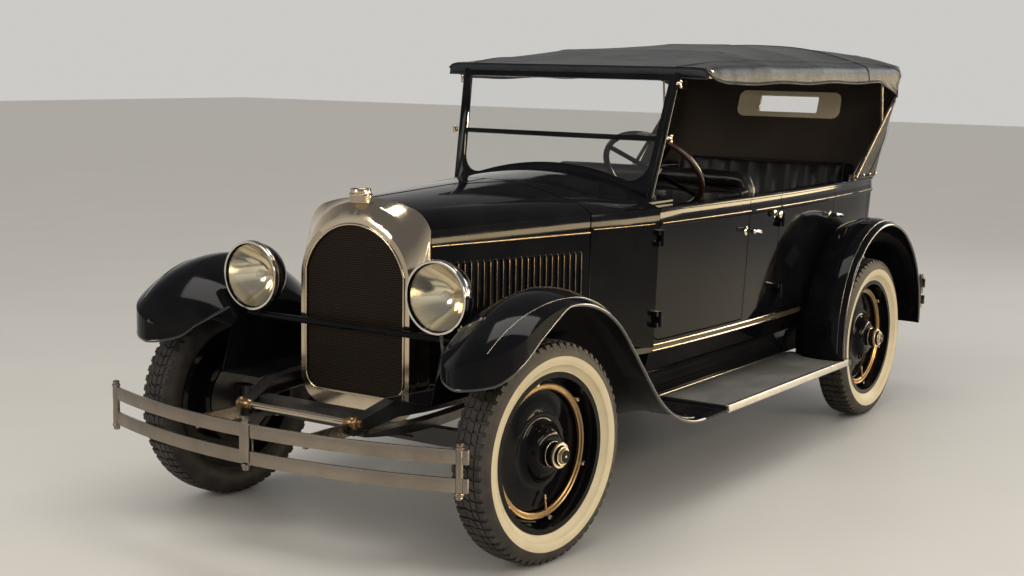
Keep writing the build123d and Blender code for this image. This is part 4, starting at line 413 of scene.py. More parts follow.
def spun(section, steps=64, close=False):
    """A new shape: a section, as (along Y, radius) pairs, spun about the Y axis."""
    shape = bmesh.new()
    ring = [shape.verts.new((0, along, radius)) for along, radius in section]
    pairs = list(zip(ring, ring[1:]))
    if close:
        pairs.append((ring[-1], ring[0]))
    spin(shape, ring, pairs, steps)
    bmesh.ops.remove_doubles(shape, verts=shape.verts, dist=0.00001)
    return shape


def nut(shape, place, radius, height, sides=6):
    """A nut or bolt head along +Y with a chamfered top."""
    made = bmesh.ops.create_cone(
        shape, cap_ends=True, segments=sides, radius1=radius, radius2=radius, depth=height
    )
    turn = Matrix.Translation(place) @ Matrix.Rotation(-pi / 2, 4, "X")
    bmesh.ops.transform(shape, matrix=turn, verts=made["verts"])
    edges = []
    for edge in {e for v in made["verts"] for e in v.link_edges}:
        on_top = all(v.co.y > place[1] for v in edge.verts)
        if on_top and edge.calc_length() < radius * 1.2:
            edges.append(edge)
    bmesh.ops.bevel(
        shape, geom=edges, offset=height * 0.18, segments=1, profile=0.5, affect="EDGES", material=-1
    )


clamp_section = [
    (0.0020, 0.2105), (0.0105, 0.2120), (0.0130, 0.2160), (0.0128, 0.2270),
    (0.0155, 0.2310), (0.0125, 0.2350), (0.0075, 0.2380),
]
cap_section = [
    (0.058, 0.0385), (0.060, 0.0437), (0.064, 0.0442), (0.0655, 0.0415), (0.086, 0.0405),
    (0.0875, 0.0440), (0.0950, 0.0440), (0.0965, 0.0425), (0.0970, 0.0345), (0.1055, 0.0335),
    (0.1070, 0.0322), (0.1072, 0.0245), (0.1150, 0.0235), (0.1165, 0.0222), (0.1160, 0.0165),
    (0.1135, 0.0155), (0.1135, 0.0105), (0.1175, 0.0085), (0.1185, 0.0),
]
for name, body, place in corners:
    ring_shape = spun(clamp_section, close=True)
    finish_piece("clamp_ring_" + name, ring_shape, bronze, body, turn=place)
    nuts = bmesh.new()
    for turn in range(6):
        angle = radians(20 + 60 * turn)
        nut(nuts, (0.240 * cos(angle), 0.019, 0.240 * sin(angle)), 0.0105, 0.016)
    finish_piece("rim_nuts_" + name, nuts, nickel, body, smooth=20, turn=place)
    finish_piece("hub_cap_" + name, spun(cap_section), cap_nickel, body, turn=place)
    bolts = bmesh.new()
    for turn in range(5):
        angle = radians(10 + 72 * turn)
        nut(bolts, (0.078 * cos(angle), 0.0405, 0.078 * sin(angle)), 0.0085, 0.010)
    finish_piece("hub_bolts_" + name, bolts, enamel, body, smooth=20, turn=place)
    stem = bmesh.new()
    for spot, foot, tip, length in (
        ((-0.020, 0.018, -0.186), 0.0042, 0.0036, 0.046),
        ((-0.020, 0.0145, -0.161), 0.0058, 0.005, 0.016),
    ):
        made = bmesh.ops.create_cone(
            stem, cap_ends=True, segments=12, radius1=foot, radius2=tip, depth=length
        )
        lean = Matrix.Translation(spot) @ Matrix.Rotation(radians(8), 4, "X")
        bmesh.ops.transform(stem, matrix=lean, verts=made["verts"])
    finish_piece("valve_" + name, stem, bronze, body, turn=place)

# Fenders and splash aprons: pressed sheet in black enamel. A rolled bead runs along the outer
# lip and round the nose, a thin raised ridge follows the crown, and two nickelled strips run
# along the sill over each apron.
fenders = ["fender_" + axle + "_" + word for axle in ("front", "rear") for side, word in sides]
dress(fenders, enamel, angle=40)
dress(["splash_aprons"], enamel, angle=35)
bead_y = 0.846
front_arch = (front_x + 0.020, 0.376)
front_lip = 0.515
rear_arch = (rear_x + 0.014, 0.436)
rear_lip = 0.498
fall = radians(47)
fall_run = 0.300
sweep_radius = 0.563


def arc_points(start, middle, end, count):
    """Evenly spaced points on the arc through three points of a plane."""
    (ax, ay), (bx, by), (cx, cy) = start, middle, end
    d = 2 * (ax * (by - cy) + bx * (cy - ay) + cx * (ay - by))
    a2, b2, c2 = ax * ax + ay * ay, bx * bx + by * by, cx * cx + cy * cy
    ux = (a2 * (by - cy) + b2 * (cy - ay) + c2 * (ay - by)) / d
    uy = (a2 * (cx - bx) + b2 * (ax - cx) + c2 * (bx - ax)) / d
    radius = hypot(ax - ux, ay - uy)
    first = atan2(ay - uy, ax - ux)
    turn = (atan2(cy - uy, cx - ux) - first) % (2 * pi)
    if (atan2(by - uy, bx - ux) - first) % (2 * pi) > turn:
        turn -= 2 * pi
    steps = [first + turn * i / (count - 1) for i in range(count)]
    return [(ux + radius * cos(a), uy + radius * sin(a)) for a in steps]


def rod_along(shape, path, radius, sides=10):
    """Sweeps a round rod along a path by bridging a ring from point to point."""
    points = [Vector(p) for p in path]
    across = None
    rings = []
    for i, point in enumerate(points):
        ahead = (points[min(i + 1, len(points) - 1)] - points[max(i - 1, 0)]).normalized()
        if across is None:
            across = ahead.orthogonal().normalized()
        across = (across - across.dot(ahead) * ahead).normalized()
        other = ahead.cross(across)
        ring = []
        for k in range(sides):
            angle = 2 * pi * k / sides
            spot = point + radius * (cos(angle) * across + sin(angle) * other)
            ring.append(shape.verts.new(spot))
        rings.append(ring)
    edges = []
    for ring in rings:
        edges.append([shape.edges.new((ring[k], ring[(k + 1) % sides])) for k in range(sides)])
    for a, b in zip(edges, edges[1:]):
        bmesh.ops.bridge_loops(shape, edges=a + b)
    shape.faces.new(rings[0])
    shape.faces.new(rings[-1])


def rod_piece(name, paths, radius, finish, body, sides=10, smooth=50, turn=None):
    """A piece made of rods of one radius."""
    shape = bmesh.new()
    for path in paths:
        rod_along(shape, path, radius, sides)
    return finish_piece(name, shape, finish, body, smooth=smooth, turn=turn)


def skin_runs(nodes, rays):
    """Runs of points where rays from outside first meet one of some panels."""
    trees = []
    for node in nodes:
        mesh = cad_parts[node].data
        corners_of = [list(face.vertices) for face in mesh.polygons]
        trees.append(BVHTree.FromPolygons([v.co for v in mesh.vertices], corners_of))
    deepest = 1.2
    runs = [[]]
    for start, aim in rays:
        spots = [spot for spot in (tree.ray_cast(start, aim)[0] for tree in trees) if spot is not None]
        spot = min(spots, key=lambda found: (found - start).length) if spots else None
        if spot is not None and (spot - start).length < deepest:
            runs[-1].append(spot)
        elif runs[-1]:
            runs.append([])
    return [run for run in runs if len(run) > 1]


nose_edges = [
    # ahead of the axle up to, height where the run starts, its start, its slope
    (0.213, 0.891, 0.050, 0.546),
    (0.315, 0.802, 0.213, 0.725),
    (0.385, 0.728, 0.315, 0.714),
    (1.0, 0.678, 0.385, 0.31),
]


def nose_edge(ahead):
    """Height of the front fender's lower edge, ahead of the axle."""
    for limit, height, start, slope in nose_edges:
        if ahead < limit:
            return height - (ahead - start) * slope


nose_turn = arc_points((0.262, 0.846), (0.394, 0.793), (0.448, 0.690), 14)
nose_turn += arc_points((0.448, 0.690), (0.417, 0.618), (0.340, 0.563), 10)[1:]
nose_turn += [(0.290, 0.518), (0.244, 0.478)]
nose_turn = nose_turn[::-1] + [(ahead, bead_y) for ahead in (0.22, 0.19, 0.15, 0.11, 0.07)]
front_bead = [(front_x + ahead, y, nose_edge(ahead)) for ahead, y in nose_turn]
for step in range(21):
    angle = radians(2) - (radians(2) + fall) * step / 20
    front_bead.append(
        (front_arch[0] + front_lip * sin(angle), bead_y, front_arch[1] + front_lip * cos(angle))
    )
foot = (
    front_arch[0] - front_lip * sin(fall) - fall_run * cos(fall),
    front_arch[1] + front_lip * cos(fall) - fall_run * sin(fall),
)
for step in range(13):
    angle = fall * (1 - step / 12)
    front_bead.append((
        foot[0] - sweep_radius * (sin(fall) - sin(angle)),
        bead_y,
        foot[1] - sweep_radius * (cos(angle) - cos(fall)),
    ))
rear_bead = []
for step in range(44):
    angle = radians(99) - radians(99 + 93) * step / 43
    rear_bead.append(
        (rear_arch[0] + rear_lip * sin(angle), bead_y, rear_arch[1] + rear_lip * cos(angle))
    )
rays_in_ridge = 61
for side, word in sides:
    for axle, path in (("front", front_bead), ("rear", rear_bead)):
        path = [(x, side * y, z) for x, y, z in path]
        name = "fender_bead_" + axle + "_" + word
        rod_piece(name, [path], 0.0065, bead_enamel, "car", smooth=40)
    drops = []
    turns = []
    for k in range(rays_in_ridge):
        x = front_x + 0.425 - 1.36 * k / 60
        y = 0.820 - 0.048 * max(0.0, (x - front_x) / 0.4) ** 1.5
        drops.append((Vector((x, side * y, 1.3)), Vector((0, 0, -1))))
        angle = radians(96 - 3.1 * k)
        aim = Vector((-sin(angle), 0, -cos(angle)))
        turns.append((Vector((rear_arch[0], side * 0.822, rear_arch[1])) - 0.9 * aim, aim))
    for axle, rays in (("front", drops), ("rear", turns)):
        runs = skin_runs(["fender_" + axle + "_" + word], rays)
        name = "fender_ridge_" + axle + "_" + word
        rod_piece(name, runs, 0.0026, bead_enamel, "car", sides=8)
    runs = []
    for level in (0.5795, 0.5560):
        rays = []
        for k in range(25):
            start = Vector((front_x - 1.03 - 1.06 * k / 24, side * 1.1, level))
            rays.append((start, Vector((0, -side, 0))))
        runs += skin_runs(["body_side_" + word, "splash_aprons", "floor"], rays)
    rod_piece("apron_strips_" + word, runs, 0.0048, nickel, "car")
tail_line = ((0.568, 0.600), (0.556, 0.470), (0.556, 0.458), (0.527, 0.365), (0.527, 0.342))
for side, word in sides:
    tail_sheet = bmesh.new()
    for x in (front_x - 2.760, front_x - 2.370):
        line = [tail_sheet.verts.new((x, side * y, z)) for y, z in tail_line]
        for pair in zip(line, line[1:]):
            tail_sheet.edges.new(pair)
    bmesh.ops.bridge_loops(tail_sheet, edges=tail_sheet.edges[:])
    bmesh.ops.solidify(tail_sheet, geom=tail_sheet.faces[:], thickness=0.002)
    finish_piece("apron_tail_" + word, tail_sheet, enamel, "car", smooth=30)

# Running boards: wooden boards under a ribbed grey rubber mat, with an aluminium nosing along
# the outer edge and a narrow one at the splash apron.
dress(["running_boards"], chassis_paint)
mat_rubber, shader, tree, where = new_finish("ribbed_mat", (0.12, 0.115, 0.105), 0.7)
ribs = add_node(
    tree, "TexWave", {"Scale": 30, "Distortion": 0, "Vector": where}, bands_direction="Y"
)
bump = add_node(tree, "Bump", {"Distance": 0.0012, "Height": ribs.outputs["Fac"]})
mat_tint = blend(tree, add_wear(tree, where, 5)["Dust"], (0.10, 0.098, 0.094), (0.27, 0.25, 0.22))
feed(tree, shader, {"Base Color": mat_tint, "Normal": bump.outputs["Normal"]})
aluminium = bare_metal("aluminium_nosing", (0.62, 0.6, 0.57), (0.42, 0.4, 0.37), 0.3, 0.5, 20)
board_top = 0.340
board_front = front_x - 1.182
board_back = front_x - 2.424
board_inner = 0.527
board_outer = 0.845


def block(shape, low, high, round_by=0.0, segments=2):
    """A box between two corners, its edges rounded."""
    made = bmesh.ops.create_cube(shape, size=1)["verts"]
    low, high = Vector(low), Vector(high)
    bmesh.ops.scale(shape, vec=high - low, verts=made)
    bmesh.ops.translate(shape, vec=(low + high) / 2, verts=made)
    if round_by:
        edges = list({e for v in made for e in v.link_edges})
        bmesh.ops.bevel(
            shape,
            geom=edges,
            offset=round_by,
            segments=segments,
            profile=0.5,
            affect="EDGES",
            material=-1,
        )


for side, word in sides:
    mat = bmesh.new()
    block(
        mat,
        (board_back + 0.012, board_inner + 0.012, board_top + 0.0002),
        (board_front - 0.006, board_outer - 0.014, board_top + 0.0045),
        0.0015,
    )
    nosing = bmesh.new()
    block(
        nosing,
        (board_back, board_outer - 0.016, board_top - 0.024),
        (board_front, board_outer + 0.003, board_top + 0.006),
        0.003,
        3,
    )
    block(
        nosing,
        (board_back, board_inner + 0.002, board_top),
        (board_front, board_inner + 0.011, board_top + 0.007),
        0.0012,
    )
    block(
        nosing,
        (board_back, board_inner + 0.012, board_top),
        (board_back + 0.011, board_outer - 0.015, board_top + 0.005),
        0.0012,
    )
    for shape, finish, slot, name in (
        (mat, mat_rubber, "mat_grey", "board_mat_"),
        (nosing, aluminium, "nickel", "board_nosing_"),
    ):
        bmesh.ops.scale(shape, vec=(1, side, 1), verts=shape.verts)
        finish_piece(name + word, shape, finish, "car")

# Radiator: a plated shell that swells backwards round a copper honeycomb core, its cells painted
# near-black as the shade inside the tubes. The front rim is rolled, a screw cap with a knurled edge
# closes the neck, and a cover shuts the crank hole.
dress(["radiator_shell"], nickel, angle=35)
painted_cell_shade_core, shader, tree, where = new_finish("painted_cell_shade_core", (0.05, 0.03, 0.02), 0.45, 0.6)
grid_turn = (0, radians(-90), radians(-90))
facing_grid = add_node(tree, "Mapping", {"Rotation": grid_turn, "Vector": where})
# The bricks are the cells, painted near-black as painted shade down the tubes; the mortar is the copper
# between them.
cells = add_node(tree, "TexBrick", {
    "Vector": facing_grid.outputs["Vector"],
    "Scale": 1.0,
    "Brick Width": 0.0135,
    "Row Height": 0.0082,
    "Mortar Size": 0.0016,
    "Mortar Smooth": 0.4,
    "Color1": (0.004, 0.0025, 0.0018, 1),
    "Color2": (0.008, 0.005, 0.0032, 1),
    "Mortar": (0.040, 0.028, 0.019, 1),
})
bump = add_node(tree, "Bump", {"Distance": 0.003, "Height": cells.outputs["Fac"]})
feed(tree, shader, {
    "Base Color": cells.outputs["Color"],
    "Specular IOR Level": 0.2,
    "Normal": bump.outputs["Normal"],
})
dress(["radiator_core"], painted_cell_shade_core)
shell_front = front_x + 0.115
mouth_path = arc_points((0.222, 0.935), (0.0, 1.106), (-0.222, 0.935), 25)
mouth_path += arc_points((-0.222, 0.560), (-0.204, 0.518), (-0.162, 0.500), 9)
mouth_path += arc_points((0.162, 0.500), (0.204, 0.518), (0.222, 0.560), 9)
loop = [(shell_front + 0.001, y, z) for y, z in mouth_path]
rod_piece("shell_rim", [loop + [loop[0]]], 0.005, nickel, "car", smooth=60)
facing_front = Matrix.Rotation(-pi / 2, 4, "Z")
facing_back = Matrix.Rotation(pi / 2, 4, "Z")
facing_up = Matrix.Rotation(pi / 2, 4, "X")
facing_down = Matrix.Rotation(-pi / 2, 4, "X")
crank_cover = spun([
    (0.0, 0.0), (0.001, 0.010), (0.006, 0.013), (0.008, 0.0165), (0.004, 0.0195), (-0.004, 0.0205),
], steps=32)
place = Matrix.Translation((shell_front - 0.010, 0, 0.455)) @ facing_front
finish_piece("crank_cover", crank_cover, nickel, "car", turn=place)
knurls = 72
filler = spun([
    (0.0, 0.0415), (0.004, 0.0425), (0.006, 0.0395), (0.0065, 0.0365),
    (0.022, 0.0362), (0.0245, 0.0330), (0.026, 0.0),
], steps=knurls)
for vert in filler.verts:
    if 0.006 < vert.co.y < 0.023 and hypot(vert.co.x, vert.co.z) > 0.0355:
        if round(atan2(vert.co.z, vert.co.x) / (2 * pi / knurls)) % 2:
            vert.co.x *= 0.965
            vert.co.z *= 0.965
place = Matrix.Translation((shell_front - 0.036, 0, 1.208)) @ facing_up
finish_piece("filler_cap", filler, nickel, "car", smooth=50, turn=place)

# Headlamps: black bowls on posts from a thin bar, with nickel rims and a bright band behind
# them. A silvered reflector with a small bulb stands behind each clear glass.
dress(["headlamps"], enamel, angle=30)
silver = bare_metal(
    "silvered_reflector", (0.88, 0.78, 0.58), (0.74, 0.62, 0.42), 0.12, 0.26, size=8
)
bulb_glass = new_finish("bulb_glass", (1.0, 0.93, 0.78), 0.1)[0]
lamp_rim = [
    (-0.004, 0.1230), (-0.0045, 0.1278), (0.002, 0.1290), (0.006, 0.1280),
    (0.0105, 0.1262), (0.013, 0.1272), (0.0165, 0.1255), (0.0175, 0.1215),
    (0.0165, 0.1180), (0.0135, 0.1168), (0.011, 0.1176), (0.006, 0.1180),
]
lamp_band = [
    (-0.034, 0.1098), (-0.034, 0.1122), (-0.030, 0.1140),
    (-0.020, 0.1182), (-0.016, 0.1200), (-0.013, 0.1192),
]
bulb_section = [
    (-0.088, 0.010), (-0.066, 0.010), (-0.063, 0.008), (-0.058, 0.0145),
    (-0.046, 0.0185), (-0.036, 0.015), (-0.031, 0.007), (-0.030, 0.0),
]
for side, word in sides:
    place = Matrix.Translation((front_x + 0.185, side * 0.419, 0.895)) @ facing_front
    for name, section, steps in (("lamp_rim_", lamp_rim, 72), ("lamp_band_", lamp_band, 64)):
        shape = spun(section, steps)
        finish_piece(name + word, shape, bright_nickel, "car", smooth=50, turn=place)
    bowl = spun([(0.0905 * (i / 18) ** 2 - 0.088, 0.1145 * i / 18) for i in range(19)], steps=72)
    bmesh.ops.recalc_face_normals(bowl, faces=bowl.faces)
    bmesh.ops.reverse_faces(bowl, faces=bowl.faces)
    name = "lamp_reflector_" + word
    finish_piece(name, bowl, silver, "car", smooth=60, turn=place, recalc=False)
    bulb = spun(bulb_section, steps=24)
    finish_piece("lamp_bulb_" + word, bulb, bulb_glass, "car", smooth=60, turn=place)

# Bumpers: two dull nickelled spring bars at each end, clamped at the middle and pinned at the
# tips. A plated tube with bronze clamps ties the frame horns behind the front pair.
dress(["front_bumper", "rear_bumper"], bar_nickel, angle=30, bevel=0.0015)
pin_section = [
    (0.0, 0.0135), (0.003, 0.0150), (0.009, 0.0150), (0.011, 0.0110),
    (0.013, 0.0110), (0.017, 0.0125), (0.022, 0.0095), (0.024, 0.0),
]


def join(whole, part, place):
    """Moves one shape into its place and adds it to another."""
    bmesh.ops.transform(part, matrix=place, verts=part.verts)
    donor = bpy.data.meshes.new("donor")
    part.to_mesh(donor)
    part.free()
    whole.from_mesh(donor)
    bpy.data.meshes.remove(donor)


for name, face_x, facing, sweep, half, middle in (
    ("front", 2.2675, 1, 0.150, 0.790, 0.4265),
    ("rear", -2.2675, -1, 0.080, 0.725, 0.4965),
):
    pins = bmesh.new()
    for side in (1, 0, -1):
        for top, turn in ((1, facing_up), (-1, facing_down)):
            back = sweep - 0.006 if side else 0.006
            spot = (face_x - facing * back, side * (half - 0.026), middle + top * 0.068)
            join(pins, spun(pin_section, steps=20), Matrix.Translation(spot) @ turn)
    clamp_low, clamp_high = (-0.0005, 0.0035) if facing > 0 else (-0.003, 0.0005)
    low = (face_x + clamp_low, -0.021, middle - 0.062)
    block(pins, low, (face_x + clamp_high, 0.021, middle + 0.070), 0.0012)
    finish_piece("bumper_pins_" + name, pins, bar_nickel, "car", smooth=40)
horns_x = front_x + 0.414
tube = [(horns_x, y, 0.483) for y in (-0.235, -0.08, 0.08, 0.235)]
rod_piece("horn_tube", [tube], 0.0125, nickel, "car", sides=24)
for side, word in sides:
    knob = spun([
        (-0.026, 0.0), (-0.026, 0.014), (-0.018, 0.019), (0.004, 0.021), (0.012, 0.018),
        (0.018, 0.024), (0.026, 0.024), (0.030, 0.016), (0.031, 0.0),
    ], steps=28)
    nut(knob, (0.0, 0.036, 0.0), 0.013, 0.012)
    place = outward((horns_x, side * 0.237, 0.483), side)
    finish_piece("horn_clamp_" + word, knob, bronze, "car", smooth=35, turn=place)

# Body: black enamelled panels on a wooden frame, trimmed with leathercloth inside. The cowl,
# sides, doors and tail carry one moulded belt, and each door has a plated lever handle.
belt_group, taken, given = new_group("belt_moulding", {"Vector": "Vector"}, {"Height": "Float"})


def reckon(operation, *values):
    """One sum of the belt group, from numbers and the results of earlier sums."""
    feeds = dict(enumerate(values))
    return add_node(belt_group, "Math", feeds, operation=operation).outputs[0]


belt_edge = 1.1215
belt_slope = 0.026
cowl_seam_x = 0.585
belt_axes = add_node(belt_group, "SeparateXYZ", {0: taken.outputs["Vector"]}).outputs
belt_drop = reckon("MAXIMUM", reckon("SUBTRACT", belt_axes["X"], cowl_seam_x), 0)
belt_below = reckon("MULTIPLY_ADD", belt_drop, belt_slope, belt_axes["Z"])
belt_below = reckon("SUBTRACT", belt_below, belt_edge)
belt_widen = reckon("MAXIMUM", reckon("SUBTRACT", belt_axes["X"], 0.41), 0)
belt_half = reckon("MINIMUM", reckon("MULTIPLY_ADD", belt_widen, 0.05, 0.017), 0.027)
belt_share = reckon("ADD", reckon("DIVIDE", belt_below, belt_half), 1)
belt_share = reckon("MAXIMUM", reckon("MINIMUM", belt_share, 1), -1)
belt_height = reckon("MULTIPLY_ADD", belt_share, -0.0013, -0.0040)
belt_height = reckon("MULTIPLY", belt_height, belt_share)
belt_height = reckon("MULTIPLY", belt_height, reckon("DIVIDE", belt_half, 0.027))
feed(belt_group, given, {"Height": belt_height})

# The belt leans back a little between its two beads.
coachwork = worn_finish(
    "belted_enamel", (0.004, 0.004, 0.005), (0.012, 0.0115, 0.011), 0.06, 0.18, ripple=0.0012, shine=0.11
)
tree = coachwork.node_tree
where = tree.nodes["Texture Coordinate"].outputs["Object"]
belt = add_node(tree, "Group", {"Vector": where}, node_tree=belt_group)
lean = add_node(tree, "Bump", {"Distance": 1.0, "Height": belt.outputs["Height"]})
feed(tree, tree.nodes["Bump"], {"Normal": lean.outputs["Normal"]})
trim_cloth = worn_finish(
    "trim_leathercloth", (0.012, 0.011, 0.010), (0.03, 0.026, 0.023), 0.42, 0.6, size=9, ripple=0.0006
)


def inward(face):
    """True for a face of the wall that looks into the car."""
    middle, normal = face.center, face.normal
    if middle.x < -1.45:
        return normal.x > 0.35 or (abs(normal.y) > 0.3 and normal.y * middle.y < 0)
    return abs(normal.y) > 0.5 and normal.y * middle.y < 0


def not_outward(face):
    """True for a face of the cowl that doesn't look to the side it is on."""
    return face.normal.y * face.center.y < 0.5 * abs(face.center.y)


doors = ["door_" + axle + "_" + word for axle in ("front", "rear") for side, word in sides]
dress(["cowl"], [coachwork, enamel], angle=24, pick=not_outward)
panels = ["body_back", "body_side_left", "body_side_right"] + doors
dress(panels, [coachwork, trim_cloth], angle=24, pick=inward)

# The belt beads below wear a warm metal colour that is a painted gold reflection.
lower_bead_z = 1.0665
for side, word in sides:
    for node, body in (
        ("cowl", "car"),
        ("door_front_" + word, "front_door_" + word),
        ("door_rear_" + word, "rear_door_" + word),
        ("body_side_" + word, "car"),
    ):
        low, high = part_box(node)
        rays = []
        for k in range(41):
            x = low.x + 0.002 + (high.x - low.x - 0.004) * k / 40
            z = lower_bead_z - belt_slope * max(0.0, x - cowl_seam_x)
            rays.append((Vector((x, side * 1.1, z)), Vector((0, -side, 0))))
        name = "belt_bead_" + node + ("_" + word if node == "cowl" else "")
        runs = skin_runs([node], rays)
        rod_piece(name, runs, 0.0034, painted_reflection_bead, body, sides=8, smooth=60)
tail_rays = []
for k in range(61):
    angle = radians(90 + 3 * k)
    start = Vector((-1.45 + 1.3 * cos(angle), 1.3 * sin(angle), lower_bead_z))
    tail_rays.append((start, Vector((-cos(angle), -sin(angle), 0))))
runs = skin_runs(["body_back"], tail_rays)
rod_piece("belt_bead_tail", runs, 0.0034, painted_reflection_bead, "car", sides=8, smooth=60)
knob_section = [
    (-0.004, 0.0165), (0.002, 0.0165), (0.004, 0.009), (0.014, 0.008), (0.018, 0.0155),
    (0.024, 0.0185), (0.031, 0.0165), (0.034, 0.009), (0.0345, 0.0),
]
rose_section = [
    (-0.004, 0.0195), (0.002, 0.0195), (0.004, 0.0165), (0.006, 0.010),
    (0.030, 0.0082), (0.036, 0.0105), (0.041, 0.009), (0.043, 0.0),
]
lever_path = [
    (0.010, 0.034, 0.001), (-0.006, 0.0355, 0.0), (-0.030, 0.036, -0.001),
    (-0.055, 0.0355, -0.003), (-0.074, 0.034, -0.006),
]
for side, word in sides:
    for name, x, y, z, body, section in (
        ("handle_front", front_x - 1.712, 0.6425, 0.982, "front_door_" + word, rose_section),
        ("handle_rear", front_x - 2.655, 0.6270, 0.984, "rear_door_" + word, rose_section),
        ("post_knob", front_x - 1.985, 0.6475, 1.036, "car", knob_section),
    ):
        lever = spun(section, steps=28)
        if section is rose_section:
            rod_along(lever, lever_path, 0.0062, sides=12)
            for vert in lever.verts:
                if vert.co.x < -0.02:
                    taper = 1.0 + min(1.0, (-0.02 - vert.co.x) / 0.03) * 0.55
                    vert.co.z = (vert.co.z + 0.002) * taper - 0.002
        bmesh.ops.scale(lever, vec=(1, side, 1), verts=lever.verts)
        place = Matrix.Translation((x, side * y, z))
        name += "_" + word
        finish_piece(name, lever, bright_nickel, body, smooth=50, turn=place)

# Hood: two top panels hinged on a rod along the crown, and two louvred sides that hang from
# them. Two spring catches hold each side.
dress(["hood_top_left", "hood_top_right", "hood_side_left", "hood_side_right"], coachwork, angle=24)
for side, word in sides:
    catches = bmesh.new()
    for x, y in ((1.500, 0.3055), (1.030, 0.4300)):
        low = (x - 0.008, side * y - 0.002, 0.690)
        block(catches, low, (x + 0.008, side * y + 0.006 * side + 0.002, 0.762), 0.002)
        spring = [(0.006, 0.700), (0.014, 0.712), (0.014, 0.742), (0.006, 0.755)]
        rod_along(catches, [(x, side * (y + out), z) for out, z in spring], 0.0042)
    name = "hood_catches_" + word
    finish_piece(name, catches, nickel, "hood_wing_" + word, smooth=40)

hood_front = Vector((front_x + 0.0240, 0.270, 0))
hood_back = Vector((front_x - 0.6840, 0.485, 0))
hood_run = (hood_back - hood_front).normalized()
hood_out = Vector((hood_run.y, -hood_run.x, 0))
louvres = 22
lip_line = [
    (0.0005, 0.801), (0.0050, 0.806), (0.0066, 0.814),
    (0.0066, 0.966), (0.0050, 0.974), (0.0005, 0.979),
]
for side, word in sides:
    lips = []
    for k in range(louvres):
        foot = hood_front + hood_run * (0.075 + 0.029 * k + 0.0105)
        path = [foot + hood_out * out + Vector((0, 0, z)) for out, z in lip_line]
        lips.append([(p.x, side * p.y, p.z) for p in path])
    name, body = "louvre_lips_" + word, "hood_wing_" + word
    # The lips' warm metal colour is a painted highlight.
    rod_piece(name, lips, 0.0018, louvre_painted_highlight, body, sides=8, smooth=60)
    # The hood bead wears the same painted gold reflection.
    bead = bmesh.new()
    ends = [hood_front + Vector((-0.001, 0, 1.040)), hood_back + Vector((0.001, 0, 1.048))]
    rod_along(bead, ends, 0.0052, sides=12)
    bmesh.ops.scale(bead, vec=(1, side, 1), verts=bead.verts)
    name, body = "hood_bead_" + word, "hood_lid_" + word
    finish_piece(name, bead, painted_reflection_bead, body, smooth=60)

# Windshield: a black steel frame on two cast feet, with two panes of plate glass held by nickel
# wing nuts at the bar and at the top.
dress(["windshield_frame"], enamel, angle=30, bevel=0.002)
glass, shader, tree, where = new_finish("plate_glass", (0.97, 0.985, 0.98), 0.01)
feed(tree, shader, {"Transmission Weight": 1.0, "IOR": 1.45})
dress(["windshield_glass", "headlamp_lenses"], glass)
for side, word in sides:
    wings = bmesh.new()
    for x, y, z in ((0.379, 0.521, 1.383), (0.318, 0.524, 1.600)):
        wing = spun([
            (0.0, 0.011), (0.006, 0.011), (0.012, 0.007), (0.016, 0.006), (0.017, 0.0),
        ], steps=20)
        for low, high in ((-0.017, -0.004), (0.004, 0.017)):
            block(wing, (-0.0015, 0.008, low), (0.0015, 0.020, high), 0.001)
        join(wings, wing, outward((x, side * y, z), side))
    finish_piece("wing_nuts_" + word, wings, nickel, "car", smooth=40)

# Floor and seat boxes: the floor is of boards, stained dark and varnished. The seats stand on
# boxes with rounded edges, covered in black leathercloth.
wood = worn_finish("dark_wood", (0.03, 0.019, 0.012), (0.07, 0.048, 0.03), 0.45, 0.7, size=8)
dress(["floor"], wood)
dress(["seat_frames"], trim_cloth, bevel=0.008)

# Controls: a dark walnut rim on a black spider, three dials on the dash, a gear lever, a brake
# lever and two pedals.
rim_wood = worn_finish(
    "walnut_rim", (0.034, 0.012, 0.007), (0.022, 0.009, 0.006), 0.16, 0.3, size=20, coat=0.3
)
wheel_hub = Vector((front_x - 1.450, 0.330, 1.232))
wheel_rake = radians(42)
wheel_axis = Vector((-cos(wheel_rake), 0, sin(wheel_rake)))


def on_spider(face):
    """True for a face of the hand wheel's spokes and hub."""
    away = face.center - wheel_hub
    return (away - away.dot(wheel_axis) * wheel_axis).length < 0.196


dress(["steering_wheel"], [rim_wood, enamel], angle=35, pick=on_spider)
dial_face = worn_finish("cream_dial", (0.62, 0.56, 0.42), (0.5, 0.44, 0.32), 0.4, 0.5, size=30)


def mark_dial(dial, verts, place, angle):
    """Moves a mark of a dial out from the middle, turns it round and makes it black."""
    bmesh.ops.translate(dial, vec=place, verts=verts)
    turn = Matrix.Rotation(radians(angle), 3, "Y")
    bmesh.ops.rotate(dial, cent=(0, 0, 0), matrix=turn, verts=verts)
    for face in {f for v in verts for f in v.link_faces}:
        face.material_index = 1


